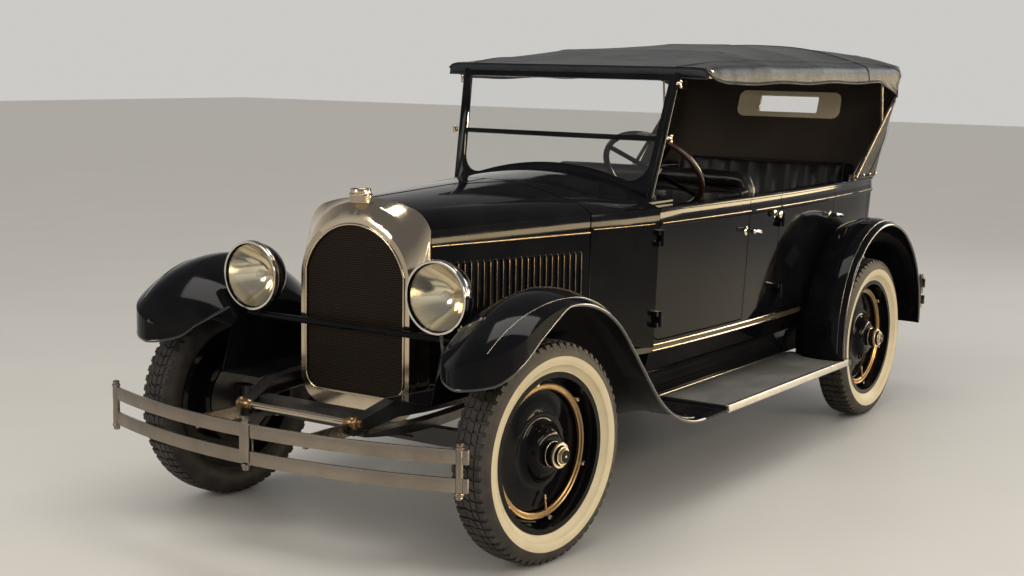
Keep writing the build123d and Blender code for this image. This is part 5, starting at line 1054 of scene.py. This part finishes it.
for name, y, radius in (("speed", 0.11, 0.045), ("oil", 0.0, 0.032), ("charge", -0.10, 0.032)):
    place = Matrix.Translation((0.3515, y, 1.055)) @ facing_back
    dial_rim = spun([
        (0.0, radius), (0.006, radius + 0.002), (0.010, radius),
        (0.011, radius - 0.004), (0.007, radius - 0.005),
    ], steps=40)
    finish_piece("dial_rim_" + name, dial_rim, nickel, "car", smooth=50, turn=place)
    dial = spun([(0.0045, radius - 0.001), (0.0045, 0.0)], steps=40)
    for tick in range(9):
        mark = bmesh.ops.create_cube(dial, size=1)["verts"]
        bmesh.ops.scale(dial, vec=(0.0016, 0.0006, 0.007), verts=mark)
        mark_dial(dial, mark, (0, 0.0047, radius - 0.010), -120 + 30 * tick)
    needle = bmesh.ops.create_cone(
        dial, cap_ends=True, segments=8, radius1=0.0022, radius2=0.0005, depth=radius * 0.85
    )
    mark_dial(dial, needle["verts"], (0, 0.006, radius * 0.3), -50)
    faces = [dial_face, enamel]
    finish_piece("dial_face_" + name, dial, faces, "car", smooth=40, turn=place)
brake_y, gear_y = 0.02, -0.10
pedals = (0.26, 0.41)
levers = bmesh.new()
brake = ((0.470, 0.600), (0.452, 0.72), (0.418, 0.82), (0.395, 0.90))
rod_along(levers, [(x, brake_y, z) for x, z in brake], 0.008, sides=12)
gear = ((0.470, 0.600), (0.440, 0.74), (0.428, 0.845))
rod_along(levers, [(x, gear_y, z) for x, z in gear], 0.0095, sides=12)
for y in pedals:
    rod_along(levers, [(0.790, y, 0.660), (0.735, y, 0.745)], 0.007)
finish_piece("control_levers", levers, steel, "car", smooth=40)
grips = bmesh.new()
for place, radius, around, along in (
    ((0.393, brake_y, 0.912), 0.021, 24, 16),
    ((0.427, gear_y, 0.853), 0.0155, 20, 12),
):
    ball = bmesh.ops.create_uvsphere(grips, u_segments=around, v_segments=along, radius=radius)
    bmesh.ops.translate(grips, vec=place, verts=ball["verts"])
for y in pedals:
    pad = bmesh.ops.create_cone(
        grips, cap_ends=True, segments=24, radius1=0.034, radius2=0.031, depth=0.010
    )
    turn = Matrix.Translation((0.731, y, 0.751)) @ Matrix.Rotation(radians(-52), 4, "Y")
    bmesh.ops.transform(grips, matrix=turn, verts=pad["verts"])
finish_piece("control_grips", grips, enamel, "car", smooth=45)

# Seats: pleated leather over springs. Each pad is a stuffed form with sewn channels across its
# face, a piped border and sides that pull in between the corners. A stuffed roll tops the back.
leather = worn_finish(
    "black_leather", (0.010, 0.0092, 0.009), (0.03, 0.026, 0.022), 0.3, 0.5, size=12
)
tree = leather.node_tree
where = tree.nodes["Texture Coordinate"].outputs["Object"]
grain = add_node(tree, "TexVoronoi", {"Scale": 520, "Vector": where}).outputs["Distance"]
creases = add_node(tree, "TexNoise", {"Scale": 34, "Detail": 5, "Vector": where}).outputs["Fac"]
both = add_node(tree, "Math", {0: grain, 1: 0.16, 2: creases}, operation="MULTIPLY_ADD")
bump = add_node(tree, "Bump", {"Distance": 0.0016, "Strength": 0.5, "Height": both.outputs[0]})
feed(tree, tree.nodes["Principled BSDF"], {"Normal": bump.outputs["Normal"]})


def pleated_pad(node, pleats, face_axis, crown):
    """A stuffed pad in the room of a CAD node: pleats run up its face, and its edges are piped."""
    low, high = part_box(node)
    shape = bmesh.new()
    shape.from_mesh(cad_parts[node].data)
    bmesh.ops.remove_doubles(shape, verts=shape.verts, dist=0.0002)
    flat = radians(4)
    bmesh.ops.dissolve_limit(shape, angle_limit=flat, verts=shape.verts, edges=shape.edges)
    normal = Vector(face_axis).normalized()
    face = max(shape.faces, key=lambda f: f.calc_area() if f.normal.dot(normal) > 0.6 else 0)
    normal = face.normal.copy()
    centre = face.calc_center_median()
    upward = normal.cross(Vector((0, 1, 0))).normalized()
    if upward.z < -0.01 or (abs(upward.z) <= 0.01 and upward.x > 0):
        upward = -upward
    spans = [(v.co - centre).dot(upward) for v in face.verts]
    tall = max(spans) - min(spans)
    middle = centre + upward * (max(spans) + min(spans)) / 2
    middle.y = 0
    deep = -min((v.co - centre).dot(normal) for v in shape.verts)
    shape.free()
    pad = bmesh.new()
    bmesh.ops.create_cube(pad, size=1)
    for axis, cuts in ((0, pleats * 10 - 1), (1, 25), (2, 5)):
        edges = [e for e in pad.edges if abs(e.verts[0].co[axis] - e.verts[1].co[axis]) > 0.5]
        bmesh.ops.subdivide_edges(pad, edges=edges, cuts=cuts, use_grid_fill=True)
    half_w = (high.y - low.y) / 2 - 0.004
    half_t = tall / 2 - 0.004
    round_by = min(0.045, deep * 0.45)
    for vert in pad.verts:
        # Across, along and through the pad: -1 to 1, -1 to 1 and 0 at the back to 1 at the face.
        u, v, w = vert.co.x * 2, vert.co.y * 2, vert.co.z + 0.5
        border = min(1.0, (1 - abs(u)) / 0.06) * min(1.0, (1 - abs(v)) / 0.10)
        channel = abs(sin(pi * pleats * (u + 1) / 2)) ** 0.55
        across = u * (half_w - 0.008 * (1 - v * v) * abs(u) ** 5)
        along = v * (half_t - 0.010 * (1 - u * u) * (abs(v) ** 6))
        top = -0.012 * (1 - border) - 0.016 * (1 - channel) * border
        top -= crown * (0.55 * u * u + 0.45 * v * v)
        top += 0.004 * noise.noise(Vector((across * 7, along * 7, 3.1)))
        past_edge = max(0.0, (max(abs(u), abs(v)) - 0.9) / 0.1)
        top -= (1 - sqrt(max(0.0, 1 - past_edge ** 2))) * round_by * 0.6
        level = -deep + 0.002 + w * (deep - 0.004 + top)
        draw_in = 0.0
        if w > 0.99:
            level = top - 0.002
        elif w < 0.01:
            draw_in = 0.010
        else:
            draw_in = -0.006 * sin(pi * w)
        across -= draw_in * (1 if u > 0.98 else -1 if u < -0.98 else 0)
        along -= draw_in * (1 if v > 0.98 else -1 if v < -0.98 else 0)
        vert.co = middle + Vector((0, across, 0)) + upward * along + normal * level
    piece = finish_piece("pad_" + node, pad, leather, "car", smooth=70)
    soften = piece.modifiers.new("soften", "SMOOTH")
    soften.factor = 0.5
    soften.iterations = 2
    surface = piece.modifiers.new("surface", "SUBSURF")
    surface.levels = surface.render_levels = 1
    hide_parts(node)
    ring = []
    for u, v in ((-1, -1), (1, -1), (1, 1), (-1, 1)):
        corner = Vector((u * (half_w - 0.022), v * (half_t - 0.022)))
        for k in range(5):
            a = atan2(v, u) + radians(-45 + 22.5 * k)
            spot = corner + Vector((cos(a), sin(a))) * 0.016
            sunk = normal * (-0.012 - crown - 0.006)
            ring.append(middle + Vector((0, spot.x, 0)) + upward * spot.y + sunk)
    ring.append(ring[0])
    name = "piping_" + node
    rod_piece(name, [ring], 0.0042, leather, "car", sides=8, smooth=60)


for node, pleats, facing, crown, fill in (
    ("front_cushion", 9, (0, 0, 1), 0.012, 0.7),
    ("front_squab", 9, (1, 0, 0.2), 0.008, 0.6),
    ("rear_cushion", 9, (0, 0, 1), 0.012, 0.7),
    ("rear_squab", 9, (1, 0, 0.3), 0.012, 0.6),
):
    pleated_pad(node, pleats, facing, crown)
roll_path = [(-0.500, 1.040), (-0.500, 1.135), (-0.487, 1.166), (-0.455, 1.176)]
far_end = [(-y, z) for y, z in reversed(roll_path)]
roll_path += [(0.15 * k, 1.178) for k in (-2, -1, 0, 1, 2)] + far_end
roll_path = [(front_x - 2.004, y, z) for y, z in roll_path]
rod_piece("seat_back_roll", [roll_path], 0.036, leather, "car", sides=20, smooth=60)

# Soft top: one sheet of rubbered black cloth, lined in brown. It is stretched over five bows,
# tacked round the header, falls in a short valance at each side and closes the back down to the
# belt. Welts cover its seams, and a cord binds its edges.
weave_group, taken, given = new_group(
    "woven_cloth",
    {"Vector": "Vector", "Weave Depth": "Float", "Wave Depth": "Float"},
    {"Normal": "Vector"},
)
where = taken.outputs["Vector"]
threads = {}
for socket, direction in enumerate("XY"):
    feeds = {"Scale": 210, "Distortion": 1.2, "Vector": where}
    wave = add_node(weave_group, "TexWave", feeds, bands_direction=direction)
    threads[socket] = wave.outputs["Fac"]
slack = {"Scale": 13, "Detail": 5, "Distortion": 0.6, "Vector": where}
folds = add_node(weave_group, "Bump", {
    "Distance": taken.outputs["Wave Depth"],
    "Strength": 0.6,
    "Height": add_node(weave_group, "TexNoise", slack).outputs["Fac"],
})
weave = add_node(weave_group, "Bump", {
    "Distance": taken.outputs["Weave Depth"],
    "Strength": 0.4,
    "Height": add_node(weave_group, "Math", threads, operation="MAXIMUM").outputs[0],
    "Normal": folds.outputs["Normal"],
})
feed(weave_group, given, {"Normal": weave.outputs["Normal"]})


def woven_cloth(name, colour, worn, rough, weave_depth, wave_depth):
    """Woven cloth with slack waves and rubbed, dusty patches."""
    finish = worn_finish(name, colour, worn, rough, rough + 0.2, size=4, shine=0.26)
    tree = finish.node_tree
    weave = add_node(tree, "Group", {
        "Vector": tree.nodes["Texture Coordinate"].outputs["Object"],
        "Weave Depth": weave_depth,
        "Wave Depth": wave_depth,
    }, node_tree=weave_group)
    feed(tree, tree.nodes["Principled BSDF"], {
        "Normal": weave.outputs["Normal"],
        "Sheen Weight": 0.06,
        "Sheen Roughness": 0.4,
    })
    return finish


top_cloth = woven_cloth(
    "rubbered_cloth", (0.008, 0.0108, 0.0125), (0.019, 0.025, 0.028), 0.40, 0.0003, 0.010
)
lining = woven_cloth(
    "brown_lining", (0.060, 0.045, 0.034), (0.09, 0.068, 0.052), 0.8, 0.0004, 0.006
)
thread_grey = worn_finish("waxed_thread", (0.06, 0.06, 0.055), (0.12, 0.115, 0.1), 0.6, 0.8, size=40)
roof_front = front_x - 1.315
roof_turn = front_x - 3.200
fold_z = 1.540
roof_half = 0.6455
crown_top = 1.786
crown_half = 0.591
shoulder_z = 1.640
shoulder_radius = 0.050
corner_radius = 0.185
back_slope = 0.359
back_x = front_x - 3.622
back_top = 1.647
belt_z = 1.131
belt_half_width = 0.600
side_slope = 0.1025
iron_foot = (front_x - 2.973, 1.130)
iron_top = (front_x - 3.470, 1.540)
ridge = arc_points((roof_front, 1.670), (front_x - 2.200, 1.766), (front_x - 3.080, 1.784), 24)
ridge += arc_points(ridge[-1], (front_x - 3.400, 1.766), (front_x - 3.566, 1.706), 14)[1:]
ridge += arc_points(ridge[-1], (front_x - 3.606, 1.682), (back_x, back_top), 8)[1:]
crown_radius = (crown_half ** 2 + 0.096 ** 2) / (2 * 0.096)


def outside(x, y, z):
    """How far a point lies outside the stretched shape, with its corners eased."""
    y = abs(y)
    top = ridge[0][1] if x > ridge[0][0] else ridge[-1][1]
    for (xa, za), (xb, zb) in zip(ridge, ridge[1:]):
        if xb <= x <= xa:
            top = za + (zb - za) * (x - xa) / (xb - xa)
            break
    crown = crown_top - crown_radius + sqrt(crown_radius ** 2 - min(y, crown_half) ** 2)
    if y > crown_half:
        share = min(1.0, (y - crown_half) / shoulder_radius)
        crown = shoulder_z + shoulder_radius * sqrt(max(0.0, 1 - share ** 2))
    half = roof_half if z > 1.5 else belt_half_width + (z - 1.1) * side_slope
    back = back_x + max(0.0, back_top - z) * back_slope
    dx, dy = (back + corner_radius) - x, y - (half - corner_radius)
    corner = (hypot(dx, dy) if dx > 0 and dy > 0 else max(dx, dy)) - corner_radius
    faults = [z - top, z - crown, y - half, back - x, corner]
    ease = 0.010
    peak = max(faults)
    return peak + ease * log(sum(exp((f - peak) / ease) for f in faults))


def reach(origin, heading):
    """The point where a line from inside leaves the stretched shape."""
    low, high = 0.0, 1.3
    for _ in range(17):
        mid = (low + high) / 2
        if outside(*(origin + heading * mid)) > 0:
            high = mid
        else:
            low = mid
    return origin + heading * low


def spaced(points, count):
    """The same line with evenly spaced points."""
    lengths = [0.0]
    for a, b in zip(points, points[1:]):
        lengths.append(lengths[-1] + (b - a).length)
    out = []
    k = 0
    for i in range(count):
        want = lengths[-1] * i / (count - 1)
        while k < len(points) - 2 and lengths[k + 1] < want:
            k += 1
        share = (want - lengths[k]) / max(1e-9, lengths[k + 1] - lengths[k])
        out.append(points[k].lerp(points[k + 1], min(1.0, share)))
    return out


def valance(x):
    """Height of the side valance's lower edge."""
    back = roof_front - x
    start = max(0.0, 1 - back / 0.21)
    return 1.602 + 0.050 * start ** 2.2 + 0.0035 * sin(back * 11.0) * min(1.0, back / 0.3)


columns = 97
half_columns = columns // 2 + 1
rows = []
kinds = []


def add_row(kind, origin, edge, sideways, upwards, steps):
    """One row of the sheet, from its left edge to the ridge, by lines fanned out from a point."""
    first = atan2(edge, sideways)
    fan = [first + (pi / 2 - first) * i / steps for i in range(steps + 1)]
    line = [reach(origin, Vector((0, cos(a), 0)) + upwards * sin(a)) for a in fan]
    rows.append(spaced(line, half_columns))
    kinds.append(kind)


roof_rows = 88
for i in range(roof_rows + 1):
    x = roof_front - (roof_front - roof_turn) * (i / roof_rows)
    origin = Vector((x, 0, fold_z))
    add_row("roof", origin, valance(x) - fold_z, roof_half, Vector((0, 0, 1)), 56)
for i in range(1, 17):
    alpha = radians(90) * i / 16
    hem = cos(alpha) / (valance(roof_turn) - fold_z) + sin(alpha) / (roof_turn - iron_top[0])
    upwards = Vector((-sin(alpha), 0, cos(alpha)))
    add_row("turn", Vector((roof_turn, 0, fold_z)), 1 / hem, roof_half, upwards, 56)
for i in range(1, 23):
    z = fold_z - (fold_z - belt_z) * i / 22
    lean = (iron_foot[0] - iron_top[0]) / (iron_top[1] - iron_foot[1])
    iron_x = iron_foot[0] - (z - iron_foot[1]) * lean
    sideways = belt_half_width + (min(z, 1.5) - 1.1) * side_slope
    origin = Vector((roof_turn, 0, z))
    add_row("curtain", origin, roof_turn - iron_x, sideways, Vector((-1, 0, 0)), 64)
front_drop = [(0.046, 0.000), (0.030, 0.0005), (0.012, 0.0005), (0.003, -0.002)]
header = []
for drop, ahead in front_drop:
    header.append([Vector((p.x + ahead, p.y, max(p.z - drop, 1.622))) for p in rows[0]])
rows = header + rows
kinds = ["header"] * len(header) + kinds
sheet_shape = bmesh.new()
bmesh.ops.create_grid(sheet_shape, x_segments=columns - 1, y_segments=len(rows) - 1, size=0.5)
grid = [[None] * columns for _ in rows]
for vert in sheet_shape.verts:
    column = round((vert.co.x + 0.5) * (columns - 1))
    row = round((vert.co.y + 0.5) * (len(rows) - 1))
    grid[row][column] = vert
for r, row in enumerate(rows):
    for c in range(columns):
        spot = row[c] if c < half_columns else row[columns - 1 - c]
        grid[r][c].co = Vector((spot.x, spot.y if c < half_columns else -spot.y, spot.z))
bmesh.ops.recalc_face_normals(sheet_shape, faces=sheet_shape.faces)
sheet_shape.normal_update()
if grid[40][columns // 2].normal.z < 0:
    bmesh.ops.reverse_faces(sheet_shape, faces=sheet_shape.faces)
    sheet_shape.normal_update()
bows = [front_x + b for b in (-1.315, -1.900, -2.480, -3.060, -3.490)]
moves = {}
for r, row in enumerate(grid):
    for c, vert in enumerate(row):
        p = vert.co
        share = abs(2 * c / (columns - 1) - 1)
        behind = bows[0] - p.x
        move = 0.0
        # The cloth sags between its bows.
        if kinds[r] in ("roof", "turn") and behind > 0:
            for a, b in zip(bows, bows[1:]):
                if b <= p.x <= a:
                    t = (a - p.x) / (a - b)
                    move -= 0.007 * 4 * t * (1 - t) * (1 - 0.85 * share ** 6)
        # It hangs in small waves along its side edges.
        if kinds[r] == "roof":
            hang = max(0.0, (share - 0.80) / 0.20)
            ripples = sin(behind * 46 + 1.2 * sin(p.x * 9))
            move += 0.0035 * hang * ripples * exp(-behind * 1.6)
            move += 0.0022 * hang * noise.noise(Vector((p.x * 9, share * 4, 1.7)))
            move += 0.001 * hang ** 2
        # It pulls into folds round the irons' upper ends and down the curtain.
        iron_end = Vector((iron_top[0], 0.64 if p.y > 0 else -0.64, iron_top[1]))
        away = (p - iron_end).length
        if kinds[r] in ("turn", "curtain") or p.x < roof_turn + 0.2:
            angle = atan2(p.z - iron_end.z, p.x - iron_end.x)
            move += 0.0045 * exp(-away / 0.16) * sin(angle * 13) * min(1.0, away / 0.04)
        if kinds[r] == "curtain":
            held = min(1.0, (1.54 - p.z) / 0.1) * min(1.0, (p.z - 1.13) / 0.05)
            move += 0.0030 * sin(p.y * 17 + p.z * 5) * held
        move += 0.0016 * noise.noise(p * 5.5)
        moves[vert] = vert.normal * (move - 0.0015)
for vert, move in moves.items():
    vert.co += move
first_row = len(header)
seam_columns = (11, columns - 12)
above = 0.0006


def sheet_line(spots, lift=0.0):
    """A line of the sheet's points, from their row and column, lifted a little off the cloth."""
    return [grid[r][c].co + grid[r][c].normal * lift for r, c in spots]


lengthwise = range(first_row, len(rows))
last_bow = first_row + round(roof_rows * (3.06 - 1.315) / (3.2 - 1.315))
seam_lines = [sheet_line([(r, c) for r in lengthwise], above) for c in seam_columns]
seam_lines.append(sheet_line([(last_bow, c) for c in range(columns)], above))
edge_lines = [sheet_line([(r, c) for r in lengthwise]) for c in (0, columns - 1)]
edge_lines += [sheet_line([(r, c) for c in range(columns)]) for r in (0, -1)]
seam_normals = [[grid[r][c].normal.copy() for r in lengthwise] for c in seam_columns]
window_z = 1.472
holes = []
for face in sheet_shape.faces:
    near = [abs(v.co.y) < 0.276 and abs(v.co.z - window_z) < 0.064 for v in face.verts]
    if all(near) and all(v.co.x < front_x - 3.4 for v in face.verts):
        holes.append(face)
bmesh.ops.delete(sheet_shape, geom=holes, context="FACES")
cloths = [top_cloth, lining]
top_piece = finish_piece("soft_top", sheet_shape, cloths, "car", smooth=80, recalc=False)
wall = top_piece.modifiers.new("wall", "SOLIDIFY")
wall.thickness = 0.003
wall.offset = -1
wall.material_offset = 1
wall.material_offset_rim = 0
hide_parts("canopy")
welts = bmesh.new()
for lines, radius in ((seam_lines, 0.0032), (edge_lines, 0.0036)):
    for line in lines:
        rod_along(welts, line, radius, sides=8)
finish_piece("top_welts", welts, top_cloth, "car", smooth=60)
stitches = bmesh.new()
for line, normals in zip(seam_lines, seam_normals):
    for side in (-1, 1):
        run = spaced([p + Vector((0, side * 0.0085, 0)) for p in line], 330)
        for k in range(0, len(run) - 1):
            a, b = run[k], run[k].lerp(run[k + 1], 0.62)
            ahead = (b - a).normalized()
            n = normals[min(len(normals) - 1, int(k * len(normals) / len(run)))]
            made = bmesh.ops.create_cube(stitches, size=1)["verts"]
            turn = Matrix((ahead, n.cross(ahead).normalized(), n)).transposed().to_4x4()
            turn = Matrix.Translation((a + b) / 2 + n * above) @ turn
            bmesh.ops.scale(stitches, vec=((b - a).length, 0.0012, 0.0012), verts=made)
            bmesh.ops.transform(stitches, matrix=turn, verts=made)
finish_piece("top_stitches", stitches, thread_grey, "car", smooth=30)
studs = bmesh.new()
stud_spots = [(front_x - 1.350, 0.637, 1.652)]
stud_spots += [(front_x - 3.03 - 0.085 * k, 0.6085 - 0.0015 * k, 1.146) for k in range(4)]
for side in (1, -1):
    for x, y, z in stud_spots:
        stud = spun([(-0.002, 0.0075), (0.002, 0.0075), (0.005, 0.0055), (0.0065, 0.0)], steps=14)
        join(studs, stud, outward((x, side * y, z), side))
finish_piece("top_studs", studs, nickel, "car", smooth=40)

# Bows and irons: five steamed ash hoops, stained dark, and jointed side irons plated in dull
# nickel, bolted to the body at the rear corners.
bow_wood = worn_finish("stained_ash", (0.045, 0.028, 0.016), (0.09, 0.06, 0.035), 0.4, 0.6, size=18)


def on_iron(face):
    """True for a face of the bows' side irons."""
    return abs(face.center.y) > 0.6 and face.center.x < front_x - 2.9


dress(["top_bows"], [bow_wood, bar_nickel], pick=on_iron)


# Rear window: two pale brass rings with rounded ends, one on each face of the back curtain,
# clamped together through the cloth round a small pane of plate glass.
def rounded_loop(half_w, half_h, radius, count=8):
    """The points of a rectangle with rounded corners."""
    points = []
    for cx, cy, start in ((1, 1, 0), (-1, 1, 90), (-1, -1, 180), (1, -1, 270)):
        for k in range(count + 1):
            a = radians(start + 90 * k / count)
            u = cx * (half_w - radius) + radius * cos(a)
            points.append((u, cy * (half_h - radius) + radius * sin(a)))
    return points


# The frame's colour is raised well above its own pale brass: painted light that stands in for the light
# the canopy's shade keeps off it.
window_frame_painted_light = worn_finish(
    "pale_brass_and_painted_light", (0.95, 0.80, 0.54), (0.85, 0.68, 0.42), 0.35, 0.5, size=10
)
ring_loops = [
    # half width, half height, corner radius, level
    (0.293, 0.0705, 0.040, -0.006), (0.295, 0.0725, 0.042, -0.003),
    (0.295, 0.0725, 0.042, 0.003), (0.292, 0.0695, 0.039, 0.006),
    (0.172, 0.049, 0.010, 0.006), (0.168, 0.045, 0.008, 0.003),
    (0.168, 0.045, 0.008, -0.003), (0.172, 0.049, 0.010, -0.006),
]
window_x = back_x + (back_top - window_z) * back_slope + 0.003
facing_curtain = Matrix(((0, 0, 1, 0), (1, 0, 0, 0), (0, 1, 0, 0), (0, 0, 0, 1)))
window_lean = Matrix.Rotation(-atan2(back_slope, 1), 4, "Y")
window_place = Matrix.Translation((window_x, 0, window_z)) @ window_lean @ facing_curtain
for name, shift in (("window_frame", 0.0), ("window_clamp", 0.013)):
    window_ring = bmesh.new()
    loops = []
    for half_w, half_h, radius, level in ring_loops:
        spots = rounded_loop(half_w, half_h, radius)
        verts = [window_ring.verts.new((u, v, level)) for u, v in spots]
        pairs = zip(verts, verts[1:] + verts[:1])
        loops.append([window_ring.edges.new(pair) for pair in pairs])
    for a, b in zip(loops, loops[1:] + loops[:1]):
        bmesh.ops.bridge_loops(window_ring, edges=a + b)
    place = Matrix.Translation((shift, 0, 0)) @ window_place
    ring_piece = finish_piece(
        name, window_ring, window_frame_painted_light, "car", smooth=35, turn=place
    )
    if not shift:
        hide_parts("rear_window")
pane = bmesh.new()
block(pane, (-0.171, -0.048, -0.002), (0.171, 0.048, 0.002))
finish_piece("window_pane", pane, glass, "car", smooth=30, turn=window_place)

# Spare: a tyre on a disc wheel, upright behind the body. It wears a tight cover of black cloth,
# hemmed along both edges and welted round the tread.
dress(["spare_tyre"], rubber)
cover_cloth = woven_cloth(
    "cover_cloth", (0.014, 0.014, 0.015), (0.03, 0.03, 0.03), 0.32, 0.0002, 0.004
)
cover_half = [
    (0.0600, 0.2840), (0.0700, 0.3000), (0.0755, 0.3160), (0.0762, 0.3260), (0.0745, 0.3420),
    (0.0690, 0.3580), (0.0590, 0.3730), (0.0450, 0.3805), (0.0250, 0.3838), (0.0, 0.3845),
]
cover_section = [(-along, radius) for along, radius in cover_half] + cover_half[-2::-1]
cover = spun(cover_section, steps=96)
spare_place = Matrix.Translation((-1.9675, 0, 0.690)) @ facing_back
for vert in cover.verts:
    angle = atan2(vert.co.z, vert.co.x)
    pucker = max(0.0, (0.335 - hypot(vert.co.x, vert.co.z)) / 0.05)
    vert.co.y *= 1 + 0.012 * pucker * sin(angle * 34)
cover_piece = finish_piece(
    "spare_cover", cover, cover_cloth, "car", smooth=60, turn=spare_place
)
cover_wall = cover_piece.modifiers.new("wall", "SOLIDIFY")
cover_wall.thickness = 0.0014
cover_wall.offset = 1
hems = bmesh.new()
for along, around, steps, radius, sides_of_rod in (
    (-0.0605, 0.285, 64, 0.0034, 8),
    (0.0605, 0.285, 64, 0.0034, 8),
    (0.030, 0.3855, 96, 0.0022, 6),
):
    angles = [2 * pi * k / steps for k in range(steps + 1)]
    ring = [(around * cos(a), along, around * sin(a)) for a in angles]
    rod_along(hems, ring, radius, sides=sides_of_rod)
finish_piece("cover_hems", hems, cover_cloth, "car", smooth=60, turn=spare_place)

# Tail lamp: a small black drum with a red glass on the left rear fender, and a bare plate hung
# under it on two bent rods.
red_glass = new_finish("red_glass", (0.55, 0.012, 0.008), 0.12)[0]
plate_paint = worn_finish(
    "plate_paint", (0.03, 0.03, 0.03), (0.07, 0.065, 0.06), 0.35, 0.55, size=16
)
tail_place = Matrix.Translation((-1.742, 0.715, 0.640)) @ facing_back
drum = spun([
    (-0.010, 0.012), (0.018, 0.012), (0.024, 0.026), (0.030, 0.0350), (0.062, 0.0360),
    (0.064, 0.0395), (0.072, 0.0395), (0.074, 0.0360), (0.070, 0.0330),
], steps=40)
finish_piece("tail_lamp", drum, enamel, "car", smooth=40, turn=tail_place)
lens = spun([(0.068, 0.0335), (0.072, 0.028), (0.077, 0.014), (0.0785, 0.0)], steps=40)
finish_piece("tail_glass", lens, red_glass, "car", smooth=60, turn=tail_place)
plate = bmesh.new()
block(plate, (-1.786, 0.545, 0.470), (-1.783, 0.835, 0.575), 0.001)
finish_piece("blank_plate", plate, plate_paint, "car", smooth=30)
plate_stays = bmesh.new()
hanger = ((-1.762, 0.628), (-1.780, 0.612), (-1.7815, 0.540), (-1.7815, 0.490))
rod_along(plate_stays, [(x, 0.715, z) for x, z in hanger], 0.006)
rod_along(plate_stays, [(-1.7815, 0.600, 0.560), (-1.7815, 0.780, 0.560)], 0.005)
finish_piece("plate_stays", plate_stays, enamel, "car", smooth=50)
